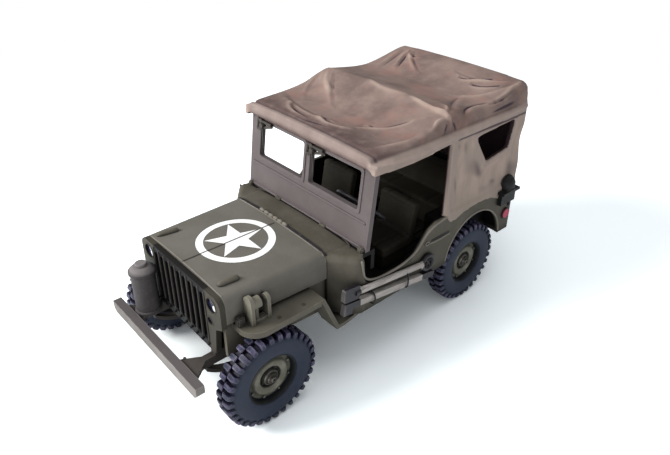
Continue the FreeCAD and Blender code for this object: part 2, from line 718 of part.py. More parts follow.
def cowl():
    shell = slab_z(cowl_plan(0, COWL_FRONT, COWL_REAR), BODY_BOTTOM, COWL_TOP)
    top_edges = []
    for edge in shell.Edges:
        box = edge.BoundBox
        if box.ZMin > COWL_TOP - 0.01 and box.YMax > COWL_FRONT + 0.01 and box.YMin < COWL_REAR - 0.01:
            top_edges.append(edge)
    shell = shell.makeFillet(COWL_EDGE, top_edges)
    low, rear, side = BODY_BOTTOM - CUT, COWL_REAR + CUT, BODY_HALF + CUT
    shell = shell.cut(slab_z(cowl_plan(WALL, COWL_FRONT + WALL, rear), low, COWL_TOP - WALL))
    # behind the door's front edge only the top and the dashboard are left
    shell = shell.cut(block(-side, side, TUB_FRONT, rear, low, DASH_BOTTOM))
    door = block(SCREEN_HALF, side, TUB_FRONT, rear, low, COWL_TOP + CUT)
    shell = shell.cut(door).cut(mirrored(door))
    dash = block(-SCREEN_HALF, SCREEN_HALF, COWL_REAR - WALL, COWL_REAR, DASH_BOTTOM, COWL_TOP - WALL / 2)
    return fused([shell, dash, cowl_panel()])


keep("cowl", cowl())


# ---------------------------------------------------------------- grille and lamps
# place across, height and radius of each lamp
HEADLAMP = (HEADLAMP_X, HEADLAMP_HEIGHT, HEADLAMP_RADIUS)
MARKER = (MARKER_X, HEADLAMP_HEIGHT - MARKER_DROP, MARKER_RADIUS)


def grille():
    corners = [(GRILLE_FOOT_HALF, RAIL_TOP), (GRILLE_WAIST_HALF, GRILLE_WAIST_BOTTOM),
               (GRILLE_HALF, GRILLE_WAIST_TOP), (GRILLE_HALF, GRILLE_TOP, GRILLE_CORNER)]
    corners += [(-c[0],) + tuple(c[1:]) for c in reversed(corners)]
    back = GRILLE_FRONT + GRILLE_THICKNESS
    plate = slab_y(corners, GRILLE_FRONT, back)
    for i in range(SLOT_COUNT):
        x = (i - (SLOT_COUNT - 1) / 2) * SLOT_PITCH
        r = SLOT_WIDTH / 2 * 0.98
        slot = slab_y([(x - SLOT_WIDTH / 2, SLOT_BOTTOM, r), (x + SLOT_WIDTH / 2, SLOT_BOTTOM, r),
                       (x + SLOT_WIDTH / 2, SLOT_TOP, r), (x - SLOT_WIDTH / 2, SLOT_TOP, r)],
                      GRILLE_FRONT - CUT, back + CUT)
        plate = plate.cut(slot)
    for x, height, radius in (HEADLAMP, MARKER):
        hole = rod(V(x, GRILLE_FRONT - CUT, height), V(x, back + CUT, height), radius)
        plate = plate.cut(hole).cut(mirrored(hole))
    return plate


keep("grille", grille())


def lamps(x, height, radius):
    """A lens on each side, seated in its hole in the grille."""
    back = GRILLE_FRONT + GRILLE_THICKNESS
    return pair(rod(V(x, GRILLE_FRONT + LAMP_RECESS, height), V(x, back, height), radius - LAMP_FIT))


keep("headlamps", lamps(*HEADLAMP))
keep("marker_lamps", lamps(*MARKER))


# ---------------------------------------------------------------- bonnet
def bonnet():
    front = GRILLE_FRONT + GRILLE_THICKNESS

    def filled(inset, bottom):
        wires = [bonnet_wire(front, GRILLE_HALF, GRILLE_TOP, inset, bottom),
                 bonnet_wire(BONNET_REAR, BONNET_REAR_HALF, BONNET_TOP, inset, bottom)]
        return Part.makeLoft(wires, True, True)

    return filled(0, BONNET_SIDE_BOTTOM).cut(filled(WALL, BONNET_SIDE_BOTTOM - CUT))


keep("bonnet", bonnet())


# ---------------------------------------------------------------- front fenders
def left_fender():
    """Flat top with a rounded front corner and a turned-down lip, a sloping plate behind the
    wheel with a small step at its foot, and the panel under the side of the bonnet."""
    t = FENDER_THICKNESS
    front = GRILLE_FRONT + GRILLE_THICKNESS
    inner, outer = GRILLE_HALF - 2 * t, GRILLE_HALF - t
    rear_outer = BONNET_REAR_HALF - t
    panel = slab_z([(inner, front), (outer, front), (rear_outer, COWL_FRONT), (rear_outer - t, COWL_FRONT)],
                   BODY_BOTTOM, BONNET_SIDE_BOTTOM - FENDER_WALL_GAP)
    under_top, under_step = FENDER_TOP - t, SLOPE_FOOT_HEIGHT - t
    strip = slab_x([(FENDER_FRONT, FENDER_TOP), (FENDER_REAR, FENDER_TOP),
                    (SLOPE_FOOT_STATION, SLOPE_FOOT_HEIGHT), (STEP_REAR, SLOPE_FOOT_HEIGHT),
                    (STEP_REAR, under_step), (SLOPE_FOOT_STATION - SLOPE_SET_BACK, under_step),
                    (FENDER_REAR - SLOPE_SET_BACK, under_top), (FENDER_FRONT, under_top)], inner, FENDER_HALF)
    plan = slab_z([(outer, FENDER_FRONT), (FENDER_HALF, FENDER_FRONT, FENDER_CORNER),
                   (FENDER_HALF, SLOPE_FOOT_STATION + 1), (FENDER_HALF - STEP_TAPER, STEP_REAR),
                   (BONNET_REAR_HALF, STEP_REAR), (rear_outer, COWL_FRONT)], 0, FENDER_TOP + CUT)
    strip = strip.common(plan)
    # the lip follows the same outer edge
    w = FENDER_LIP_WIDTH
    lip_outer = [(outer, FENDER_FRONT), (FENDER_HALF, FENDER_FRONT, FENDER_CORNER),
                 (FENDER_HALF, FENDER_REAR - t), (outer, FENDER_REAR - t)]
    lip_inner = [(inner - CUT, FENDER_FRONT + w), (FENDER_HALF - w, FENDER_FRONT + w, FENDER_CORNER - w),
                 (FENDER_HALF - w, FENDER_REAR + CUT), (inner - CUT, FENDER_REAR + CUT)]
    lip = slab_z(lip_outer, FENDER_TOP - FENDER_LIP, FENDER_TOP).cut(slab_z(lip_inner, 0, under_top))
    return fused([panel, strip, lip])


keep("left_fender", left_fender())
keep("right_fender", mirrored(left_fender()))


# ---------------------------------------------------------------- condenser can, driving lamp
def condenser_can():
    """A closed can with a rim, a domed cap and a filler knob, standing on the frame's front gusset."""
    up = V(0, 0, 1)

    def at(height):
        return V(CONDENSER_X, CONDENSER_STATION, height)

    cap_top = CONDENSER_RIM_TOP + CONDENSER_DOME
    rim_radius = CONDENSER_RADIUS + CONDENSER_RIM
    return fused([
        Part.makeCylinder(CONDENSER_RADIUS, CONDENSER_RIM_TOP - HORN_TOP, at(HORN_TOP), up),
        Part.makeCylinder(rim_radius, CONDENSER_RIM_HEIGHT, at(CONDENSER_RIM_TOP - CONDENSER_RIM_HEIGHT), up),
        Part.makeCylinder(rim_radius, CONDENSER_FOOT_RIM, at(HORN_TOP), up),
        Part.makeCone(CONDENSER_RADIUS, CONDENSER_CAP_RADIUS, CONDENSER_DOME, at(CONDENSER_RIM_TOP), up),
        Part.makeCylinder(CONDENSER_KNOB_RADIUS, CONDENSER_TOP - cap_top, at(cap_top), up),
    ])


keep("condenser_can", condenser_can())


def upright_plate(x, station, half, thickness, height, corner):
    """A plate standing across the fender, with a rounded top."""
    top = FENDER_TOP + height
    x0, x1 = x - half, x + half
    return slab_y([(x0, FENDER_TOP), (x1, FENDER_TOP), (x1, top, corner), (x0, top, corner)],
                  station, station + thickness)


def driving_lamp():
    """The blackout lamp between the guard in front of it and a smaller plate behind, on one foot."""
    middle = V(BLACKOUT_X, GUARD_STATION + GUARD_THICKNESS, FENDER_TOP + BLACKOUT_HEIGHT)
    rear = middle + V(0, BLACKOUT_DEPTH, 0)
    stem = (middle + rear) * 0.5
    return fused([
        upright_plate(BLACKOUT_X, GUARD_STATION, GUARD_HALF, GUARD_THICKNESS, GUARD_HEIGHT, GUARD_CORNER),
        upright_plate(BLACKOUT_X, SHIELD_STATION, SHIELD_HALF, SHIELD_THICKNESS, SHIELD_HEIGHT,
                      SHIELD_CORNER),
        rod(middle, rear, BLACKOUT_RADIUS),
        rod(V(stem.x, stem.y, FENDER_TOP), stem, BLACKOUT_STEM_RADIUS),
        block(BLACKOUT_X - BLACKOUT_FOOT_HALF, BLACKOUT_X + BLACKOUT_FOOT_HALF, GUARD_STATION,
              SHIELD_STATION + SHIELD_THICKNESS, FENDER_TOP, FENDER_TOP + BLACKOUT_FOOT),
    ])


keep("driving_lamp", driving_lamp())


# ---------------------------------------------------------------- windscreen
# leans what is drawn upright to the rear, about the front edge of the screen's foot
SCREEN_FOOT = V(0, SCREEN_STATION, COWL_TOP)
LEAN = FreeCAD.Placement(V(0, 0, 0), FreeCAD.Rotation(V(1, 0, 0), -SCREEN_RAKE), SCREEN_FOOT)


def pane_outline(side, grow):
    """Corners of one pane, grown on all sides."""
    x0, x1 = sorted((side * PANE_INNER, side * PANE_OUTER))
    low, high = PANE_BOTTOM - grow, PANE_TOP + grow
    return [(x0 - grow, low, PANE_CORNER), (x1 + grow, low, PANE_CORNER),
            (x1 + grow, high, PANE_CORNER), (x0 - grow, high, PANE_CORNER)]


def windscreen():
    front, back = SCREEN_STATION, SCREEN_STATION + SCREEN_THICKNESS
    frame = block(-SCREEN_HALF, SCREEN_HALF, front, back, COWL_TOP - SCREEN_SPARE, SCREEN_TOP + SCREEN_SPARE)
    for side in (1, -1):
        frame = frame.fuse(slab_y(pane_outline(side, PANE_FRAME), front - PANE_FRAME_RISE, back))
    for side in (1, -1):
        frame = frame.cut(slab_y(pane_outline(side, 0), front - CUT, back + CUT))
    level = slab_y([(-SCREEN_HALF, COWL_TOP), (SCREEN_HALF, COWL_TOP),
                    (SCREEN_HALF, SCREEN_TOP, SCREEN_CORNER), (-SCREEN_HALF, SCREEN_TOP, SCREEN_CORNER)],
                   COWL_FRONT, TUB_REAR)
    frame = frame.removeSplitter()
    frame.Placement = LEAN
    return frame.common(level)


keep("windscreen", windscreen())


def wipers():
    """One arm at the upper corner of each pane, on the right of the pane."""
    arms = []
    face = SCREEN_STATION - PANE_FRAME_RISE
    height = PANE_TOP + PANE_FRAME / 2

    def leaning_rod(start, end, radius):
        return rod(LEAN.multVec(start), LEAN.multVec(end), radius)

    for x in (-PANE_OUTER + WIPER_INSET, PANE_INNER + WIPER_INSET):
        pivot = V(x, face - WIPER_STANDOFF, height)
        arms.append(fused([
            leaning_rod(V(x, face, height), V(x, face - WIPER_BOSS_DEPTH, height), WIPER_BOSS_RADIUS),
            leaning_rod(pivot, pivot + V(WIPER_ARM, 0, 0), WIPER_RADIUS),
            leaning_rod(pivot, pivot - V(0, 0, WIPER_DROP), WIPER_RADIUS),
        ]))
    return Part.makeCompound(arms)


keep("wipers", wipers())


# ---------------------------------------------------------------- canvas top
def roof_wire(section, foot, inset):
    """Section of the top: side, eave, rounded corner, crowned or sagging roof, and back down."""
    station, set_in, eave, corner, middle = section
    half, corner, middle = BODY_HALF - set_in - inset, corner - inset, middle - inset
    r = ROOF_CORNER - inset * 0.6
    shoulder = half - ROOF_TAPER
    bend = r * (1 - math.sqrt(0.5))
    left = [V(half, station, foot), V(half, station, eave), V(shoulder, station, corner - r),
            V(shoulder - bend, station, corner - bend), V(shoulder - r, station, corner)]
    right = [V(-p.x, p.y, p.z) for p in left]
    edges = [
        Part.makeLine(right[0], right[1]),
        Part.makeLine(right[1], right[2]),
        Part.Arc(right[2], right[3], right[4]).toShape(),
        Part.Arc(right[4], V(0, station, middle), left[4]).toShape(),
        Part.Arc(left[4], left[3], left[2]).toShape(),
        Part.makeLine(left[2], left[1]),
        Part.makeLine(left[1], left[0]),
        Part.makeLine(left[0], right[0]),
    ]
    return Part.Wire(edges)


def lofted(sections):
    """Straight-sided spans from section to section, joined end to end."""
    spans = [Part.makeLoft([a, b], True, True) for a, b in zip(sections, sections[1:])]
    return fused(spans)


def canvas_top():
    roof_outer = lofted([roof_wire(row, row[2] - HEM, 0) for row in ROOF_SECTIONS])
    roof_inner = lofted([roof_wire(row, row[2] - HEM - CUT, CANVAS) for row in ROOF_SECTIONS])
    rear_outer = lofted([roof_wire(row, TUB_TOP, 0) for row in ENCLOSURE_SECTIONS])
    last = ENCLOSURE_SECTIONS[-1]
    inner_rows = ENCLOSURE_SECTIONS[:-1] + ((last[0] - CANVAS,) + last[1:],)
    rear_inner = lofted([roof_wire(row, TUB_TOP - CUT, CANVAS) for row in inner_rows])
    # the front hem reaches back over the whole top of the raked screen
    rake = math.radians(SCREEN_RAKE)
    lean = (SCREEN_TOP - COWL_TOP) * math.tan(rake)
    screen_back = SCREEN_STATION + lean + SCREEN_THICKNESS / math.cos(rake)
    roof_front, roof_top = ROOF_SECTIONS[0][0], ROOF_SECTIONS[1][4]
    front_hem = block(-BODY_HALF, BODY_HALF, roof_front, screen_back, SCREEN_TOP, roof_top)
    shell = roof_outer.cut(roof_inner).fuse(rear_outer.cut(rear_inner)).fuse(roof_outer.common(front_hem))
    shell = shell.removeSplitter()
    window = slab_x([(s, z, WINDOW_CORNER) for s, z in SIDE_WINDOW], -BODY_HALF - 2, BODY_HALF + 2)
    rear_window = slab_y([(-REAR_WINDOW_HALF, REAR_WINDOW_BOTTOM, WINDOW_CORNER),
                          (REAR_WINDOW_HALF, REAR_WINDOW_BOTTOM, WINDOW_CORNER),
                          (REAR_WINDOW_HALF, REAR_WINDOW_TOP, WINDOW_CORNER),
                          (-REAR_WINDOW_HALF, REAR_WINDOW_TOP, WINDOW_CORNER)], TUB_REAR - 2, TUB_REAR + 2)
    return shell.cut(window).cut(rear_window)


keep("canvas_top", canvas_top())


# ---------------------------------------------------------------- seats
def seat_back(rear, foot, top, lean, x0, x1):
    """A back that leans to the rear, its foot flush with the rear of the seat."""
    front = rear - SEAT_BACK
    return slab_x([(front, foot), (rear, foot), (rear + lean, top, SEAT_BACK_CORNER),
                   (front + lean, top, SEAT_BACK_CORNER)], x0, x1)


def front_seat(x):
    floor = BODY_BOTTOM + WALL
    rear = SEAT_FRONT + SEAT_LENGTH
    middle = SEAT_CUSHION_TOP - SEAT_CUSHION / 2
    x0, x1 = x - SEAT_HALF, x + SEAT_HALF
    cushion = block(x0, x1, SEAT_FRONT, rear, SEAT_CUSHION_TOP - SEAT_CUSHION, SEAT_CUSHION_TOP)
    cushion = cushion.makeFillet(SEAT_EDGE, cushion.Edges)
    back = seat_back(rear, middle, SEAT_BACK_TOP, SEAT_BACK_LEAN, x0, x1)
    inset = SEAT_LEG_INSET
    base = block(x0 + inset, x1 - inset, SEAT_FRONT + inset, rear - inset, floor, middle)
    return fused([cushion, back, base])


keep("driver_seat", front_seat(SEAT_X))
keep("passenger_seat", front_seat(-SEAT_X))


def rear_seat():
    floor = BODY_BOTTOM + WALL
    rear = BENCH_FRONT + BENCH_LENGTH
    base = slab_x([(BENCH_FRONT, floor), (rear, floor), (rear, BENCH_TOP),
                   (BENCH_FRONT, BENCH_TOP, SEAT_BACK_CORNER)], -BENCH_HALF, BENCH_HALF)
    back = seat_back(rear, BENCH_TOP - BENCH_BACK_SINK, BENCH_BACK_TOP, BENCH_BACK_LEAN,
                     -BENCH_HALF, BENCH_HALF)
    return fused([base, back])


keep("rear_seat", rear_seat())


# ---------------------------------------------------------------- controls
def steering_wheel():
    hub = V(WHEEL_X, WHEEL_STATION, WHEEL_HEIGHT)
    foot = V(WHEEL_X, COWL_REAR, COLUMN_FOOT_HEIGHT)
    axis = (hub - foot).normalize()
    rim = Part.makeTorus(WHEEL_RIM_RADIUS, WHEEL_RIM_TUBE, hub, axis)
    across = V(1, 0, 0)
    upward = axis.cross(across)
    parts = [rim, rod(foot, hub + axis * 0.2, COLUMN_RADIUS)]
    for turn in (90, 210, 330):
        direction = across * math.cos(math.radians(turn)) + upward * math.sin(math.radians(turn))
        parts.append(rod(hub, hub + direction * WHEEL_RIM_RADIUS, WHEEL_RIM_TUBE * 0.7))
    behind_dash = block(WHEEL_X - 1, WHEEL_X + 1, COWL_REAR - 1, COWL_REAR, DASH_BOTTOM, COWL_TOP)
    return fused(parts).cut(behind_dash)


keep("steering_wheel", steering_wheel())


def gear_levers():
    """The three levers stand on one plate on the gearbox cover."""
    floor = BODY_BOTTOM + WALL + TUNNEL_HEIGHT
    front = LEVERS[0][1] - LEVER_PLATE_EDGE
    parts = [block(-TUNNEL_HALF + LEVER_PLATE_EDGE, TUNNEL_HALF - LEVER_PLATE_EDGE, front,
                   TUNNEL_REAR - LEVER_PLATE_EDGE, floor, floor + LEVER_PLATE)]
    for x, station, height, lean in LEVERS:
        foot = V(x, station, floor + LEVER_PLATE / 2)
        head = V(x, station + lean, floor + height)
        parts.append(rod(foot, head, LEVER_RADIUS))
        parts.append(Part.makeSphere(LEVER_KNOB, head))
    return fused(parts)


keep("gear_levers", gear_levers())


# ---------------------------------------------------------------- pioneer tools
def lying(front, rear):
    """Places (distance along the tool, height across it) on the side of the body."""
    along = (rear - front).normalize()
    across = V(0, -along.z, along.y)
    return lambda p: front + along * p.x + across * p.y


def shovel():
    """The blade in front, the round handle, and a ring as its grip."""
    x = BODY_HALF + HANDLE_RADIUS
    front = V(x, SHOVEL_FRONT, SHOVEL_FRONT_HEIGHT)
    grip = V(x, SHOVEL_GRIP_STATION, SHOVEL_GRIP_HEIGHT)
    place = lying(front, grip)
    b, r, half = SHOVEL_BLADE_LENGTH, SHOVEL_BLADE_CORNER, SHOVEL_BLADE_HALF
    blade = Part.Face(outline([(0, -half, r), (b, -half, r), (b, half, r), (0, half, r)], place))
    blade = blade.extrude(V(SHOVEL_BLADE_THICKNESS, 0, 0))
    blade.translate(V(-HANDLE_RADIUS, 0, 0))
    handle_end = (grip - front).Length - GRIP_RADIUS
    handle = rod(place(V(b - SHOVEL_SOCKET, 0, 0)), place(V(handle_end, 0, 0)), HANDLE_RADIUS)
    ring = Part.makeTorus(GRIP_RADIUS, GRIP_TUBE, grip, V(1, 0, 0))
    return fused([blade, handle, ring])


keep("shovel", shovel())


def axe():
    """A flat handle with the head in front, its edge downwards and to the front."""
    front = V(BODY_HALF, AXE_FRONT, SHOVEL_FRONT_HEIGHT - AXE_FRONT_DROP)
    rear = V(BODY_HALF, AXE_REAR, SHOVEL_GRIP_HEIGHT - AXE_REAR_DROP)
    place = lying(front, rear)
    half, length = AXE_HANDLE_HEIGHT / 2, (rear - front).Length
    shape = Part.Face(outline([(length, half, half * 0.6), (0, half), (-AXE_HEAD_LENGTH, half),
                               (-AXE_HEAD_LENGTH, -AXE_EDGE_HALF), (0, -AXE_EDGE_HALF), (0, -half),
                               (length, -half, half * 0.6)], place))
    return shape.extrude(V(AXE_THICKNESS, 0, 0))


keep("axe", axe())


# ---------------------------------------------------------------- rear end
def spare():
    """The spare wheel, its axis lengthways, on a pressed carrier bolted to the rear panel."""
    centre_station = TUB_REAR + SPARE_STANDOFF + TYRE_WIDTH / 2
    at_origin = V(0, 0, 0)
    turn = FreeCAD.Placement(V(SPARE_X, centre_station, SPARE_HEIGHT), FreeCAD.Rotation(V(0, 0, 1), 90))
    shapes = []
    for shape in (tyre(at_origin, 1), disc(at_origin, 1, False)):
        moved = shape.copy()
        moved.Placement = turn
        shapes.append(moved)
    return shapes


spare_tyre, spare_disc = spare()
keep("spare_tyre", spare_tyre)
keep("spare_disc", spare_disc)
disc_back = TUB_REAR + SPARE_STANDOFF + TYRE_WIDTH / 2 + DISC_DISH
keep("spare_carrier", fused([
    block(SPARE_X - CARRIER_HALF, SPARE_X + CARRIER_HALF, TUB_REAR, TUB_REAR + CARRIER_PLATE,
          SPARE_HEIGHT - CARRIER_DROP, TUB_TOP - CARRIER_RIM_GAP),
    rod(V(SPARE_X, TUB_REAR, SPARE_HEIGHT), V(SPARE_X, disc_back, SPARE_HEIGHT), HUB_RADIUS),
]))

can_front = TUB_REAR + TRAY_WALL + TRAY_GAP


def fuel_can():
    """The can, with its sloping shoulder towards the left side and the handle plate on top."""
    right, left = FUEL_CAN_X - FUEL_CAN_HALF, FUEL_CAN_X + FUEL_CAN_HALF
    body_top = FUEL_CAN_TOP - FUEL_CAN_HANDLE_RISE
    body = slab_y([(right, FUEL_CAN_BOTTOM, FUEL_CAN_EDGE), (left, FUEL_CAN_BOTTOM, FUEL_CAN_EDGE),
                   (left, body_top - FUEL_CAN_SLOPE_DROP, FUEL_CAN_CORNER),
                   (left - FUEL_CAN_SLOPE, body_top, FUEL_CAN_CORNER), (right, body_top, FUEL_CAN_EDGE)],
                  can_front, can_front + FUEL_CAN_DEPTH)
    middle = can_front + FUEL_CAN_DEPTH / 2
    handle = block(right + FUEL_CAN_HANDLE_RIGHT, left - FUEL_CAN_HANDLE_LEFT, middle - FUEL_CAN_HANDLE / 2,
                   middle + FUEL_CAN_HANDLE / 2, body_top - FUEL_CAN_HANDLE_SINK, FUEL_CAN_TOP)
    return fused([body, handle])


keep("fuel_can", fuel_can())


def fuel_can_tray():
    """An open tray under the can, with a back plate up the rear panel."""
    half_in = FUEL_CAN_HALF + TRAY_GAP
    half_out = half_in + TRAY_WALL
    rear_in = can_front + FUEL_CAN_DEPTH + TRAY_GAP
    tray = block(FUEL_CAN_X - half_out, FUEL_CAN_X + half_out, TUB_REAR, rear_in + TRAY_WALL,
                 FUEL_CAN_BOTTOM - TRAY_WALL, FUEL_CAN_BOTTOM + TRAY_HEIGHT)
    tray = tray.cut(block(FUEL_CAN_X - half_in, FUEL_CAN_X + half_in, TUB_REAR + TRAY_WALL, rear_in,
                          FUEL_CAN_BOTTOM, FUEL_CAN_TOP))
    back = block(FUEL_CAN_X - TRAY_BACK_HALF, FUEL_CAN_X + TRAY_BACK_HALF, TUB_REAR, TUB_REAR + TRAY_WALL,
                 FUEL_CAN_BOTTOM, TUB_TOP - TRAY_BACK_DROP)
    return fused([tray, back])


keep("fuel_can_tray", fuel_can_tray())


def bumperettes():
    """Quarter-round buffers below the rear corners, on plates under the floor."""
    x0, x1 = BUMPERETTE_X - BUMPERETTE_HALF, BUMPERETTE_X + BUMPERETTE_HALF
    top = BODY_BOTTOM - BUMPERETTE_PLATE
    plate = block(x0, x1, TUB_REAR - WALL - BUMPERETTE_REACH, TUB_REAR, top, BODY_BOTTOM)
    front = TUB_REAR - BUMPERETTE_FOOT
    post = slab_z([(x0, front), (x0, TUB_REAR),
                   (x0 + BUMPERETTE_BEVEL, TUB_REAR + BUMPERETTE_DEPTH, BUMPERETTE_CORNER),
                   (x1, TUB_REAR + BUMPERETTE_OUTER_DEPTH, BUMPERETTE_CORNER), (x1, front)],
                  BUMPERETTE_BOTTOM, top)
    return pair(fused([plate, post]))


keep("rear_bumperettes", bumperettes())


def tow_pintle():
    """A shank on the frame's end with a lying eye."""
    shank_end = TUB_REAR + PINTLE_REACH
    eye_station = shank_end + PINTLE_EYE_OUTER - PINTLE_EYE_SINK
    low = PINTLE_HEIGHT - PINTLE_THICKNESS / 2
    shank = rod(V(0, RAIL_REAR, PINTLE_HEIGHT), V(0, shank_end, PINTLE_HEIGHT), PINTLE_SHANK)
    eye = Part.makeCylinder(PINTLE_EYE_OUTER, PINTLE_THICKNESS, V(0, eye_station, low))
    hole = Part.makeCylinder(PINTLE_EYE, PINTLE_THICKNESS + 2 * CUT, V(0, eye_station, low - CUT))
    return fused([shank, eye]).cut(hole)


keep("tow_pintle", tow_pintle())


def button(place, direction, depth, radius):
    """A round lamp or reflector standing on a panel, and its twin on the other side."""
    return pair(rod(place, place + direction * depth, radius))


keep("tail_lamps", button(V(TAIL_LAMP_X, TUB_REAR, TAIL_LAMP_HEIGHT), V(0, 1, 0), TAIL_LAMP_DEPTH,
                          TAIL_LAMP_RADIUS))
keep("reflectors", button(V(BODY_HALF, REFLECTOR_STATION, REFLECTOR_HEIGHT), V(1, 0, 0), REFLECTOR_DEPTH,
                          REFLECTOR_RADIUS))


def antenna_base():
    """A block and a flange on the tub's side, with half a drum and its dome standing on it."""
    front, rear = ANTENNA_STATION - ANTENNA_FLANGE_FRONT, ANTENNA_STATION + ANTENNA_FLANGE_REAR
    flange_top = ANTENNA_HEIGHT + ANTENNA_FLANGE
    dome = V(BODY_HALF, ANTENNA_STATION, flange_top + ANTENNA_DRUM_HEIGHT)
    round_part = fused([
        Part.makeCylinder(ANTENNA_RADIUS, ANTENNA_DRUM_HEIGHT, V(BODY_HALF, ANTENNA_STATION, flange_top)),
        Part.makeSphere(ANTENNA_RADIUS, dome),
    ])
    outside = block(BODY_HALF, BODY_HALF + ANTENNA_RADIUS, front, rear, flange_top, dome.z + ANTENNA_RADIUS)
    return fused([
        block(BODY_HALF, BODY_HALF + ANTENNA_BLOCK, front + ANTENNA_BLOCK_INSET, rear - ANTENNA_BLOCK_INSET,
              ANTENNA_HEIGHT - ANTENNA_BLOCK_DROP, ANTENNA_HEIGHT),
        block(BODY_HALF, BODY_HALF + ANTENNA_RADIUS, front, rear, ANTENNA_HEIGHT, flange_top),
        round_part.common(outside),
    ])


keep("antenna_base", antenna_base())


# ---------------------------------------------------------------- write the pieces
os.makedirs("parts", exist_ok=True)
shift = V(0, -ORIGIN_STATION, 0)
whole = FreeCAD.BoundBox()
for name, shape in pieces.items():
    shape.translate(shift)
    whole.add(shape.BoundBox)
    shape.exportStep("parts/" + name + ".step")
    numbers = (name, len(shape.Solids), shape.Volume, shape.isValid())
    print("%-18s solids %d  volume %8.2f  valid %s" % numbers)
print("box", [round(v, 2) for v in (whole.XMin, whole.XMax, whole.YMin, whole.YMax, whole.ZMin, whole.ZMax)])
print("origin station", ORIGIN_STATION, "volume", round(sum(s.Volume for s in pieces.values()), 1))
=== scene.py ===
# %% [markdown]
# # A painted scale model of an army car with its canvas top
#
# The real thing is a small plastic kit, glued and painted by hand: olive drab panels, a brown canvas
# top, dark rubber tyres. The solids of the car come from the packed CAD frame. This lesson gives them
# paint, and adds the forms that only a close look shows: tyre lugs, folds, decals, nuts and straps.

# %% Load the frame
import math

import bmesh
import bpy
import numpy as np
from mathutils import Matrix, Vector
from mathutils.bvhtree import BVHTree


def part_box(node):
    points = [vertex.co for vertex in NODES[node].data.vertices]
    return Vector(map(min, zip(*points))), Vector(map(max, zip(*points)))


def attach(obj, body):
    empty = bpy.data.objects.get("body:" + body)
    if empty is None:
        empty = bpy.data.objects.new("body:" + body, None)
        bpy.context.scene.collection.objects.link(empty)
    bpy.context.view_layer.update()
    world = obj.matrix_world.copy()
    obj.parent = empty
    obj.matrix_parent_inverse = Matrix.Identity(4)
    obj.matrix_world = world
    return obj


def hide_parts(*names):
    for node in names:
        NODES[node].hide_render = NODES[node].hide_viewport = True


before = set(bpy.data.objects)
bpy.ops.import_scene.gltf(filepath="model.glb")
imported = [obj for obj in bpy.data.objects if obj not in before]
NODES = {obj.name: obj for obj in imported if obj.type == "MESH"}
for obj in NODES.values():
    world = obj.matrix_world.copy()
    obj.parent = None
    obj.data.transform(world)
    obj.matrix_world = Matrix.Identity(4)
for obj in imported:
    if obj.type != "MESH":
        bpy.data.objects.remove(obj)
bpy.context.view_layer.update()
MM = 0.001
CAR = "car"

# %% [markdown]
# ## Camera
#
# The model is seen from its front left, a little above, from about the length of a hand away. A
# camera this near needs a real position rather than a direction alone, so it is placed by the point
# it looks at, its distance and its two angles, and then rolled a little. The lens is given by the
# field of view, and the shift only puts the model where it stands in the view.

# %% The camera
CAMERA_AIM = Vector((0.0, 7.5, 14.15)) * MM
CAMERA_DISTANCE = 92.0 * MM
CAMERA_AZIMUTH = math.radians(44.9)
CAMERA_ELEVATION = math.radians(29.9)
CAMERA_ROLL = math.radians(2.2)
CAMERA_LENS, CAMERA_SENSOR = 32.63, 36
CAMERA_SHIFT = (-0.0533, -0.0316)
CAMERA_NEAR, CAMERA_FAR = 1 * MM, 5


def new_object(name, data):
    """An object in the scene for a mesh, a lamp or a camera."""
    made = bpy.data.objects.new(name, data)
    bpy.context.scene.collection.objects.link(made)
    return made


def place_camera():
    """A camera that looks at the model from its left front corner."""
    cosine = math.cos(CAMERA_ELEVATION)
    back = Vector((math.sin(CAMERA_AZIMUTH) * cosine, -math.cos(CAMERA_AZIMUTH) * cosine,
                   math.sin(CAMERA_ELEVATION)))
    right = Vector((math.cos(CAMERA_AZIMUTH), math.sin(CAMERA_AZIMUTH), 0))
    up = back.cross(right)
    rolled_right = right * math.cos(CAMERA_ROLL) + up * math.sin(CAMERA_ROLL)
    rolled_up = up * math.cos(CAMERA_ROLL) - right * math.sin(CAMERA_ROLL)
    lens = bpy.data.cameras.new("camera")
    lens.lens, lens.sensor_width = CAMERA_LENS, CAMERA_SENSOR
    lens.shift_x, lens.shift_y = CAMERA_SHIFT
    lens.clip_start, lens.clip_end = CAMERA_NEAR, CAMERA_FAR
    camera = new_object("camera", lens)
    axes = Matrix((rolled_right, rolled_up, back)).transposed().to_4x4()
    camera.matrix_world = Matrix.Translation(CAMERA_AIM + back * CAMERA_DISTANCE) @ axes
    bpy.context.scene.camera = camera
    return camera


print("camera at", [round(v / MM, 1) for v in place_camera().location])

# %% [markdown]
# ## Sums in a shader
#
# A painted surface is mostly arithmetic on masks: an edge mask times a noise, one minus a shadow
# mask. Written with nodes by hand, that takes a page. The small class below wraps a socket, so that
# `1 - mask * 0.5` adds its own Math nodes, and reads like the sum that it is.

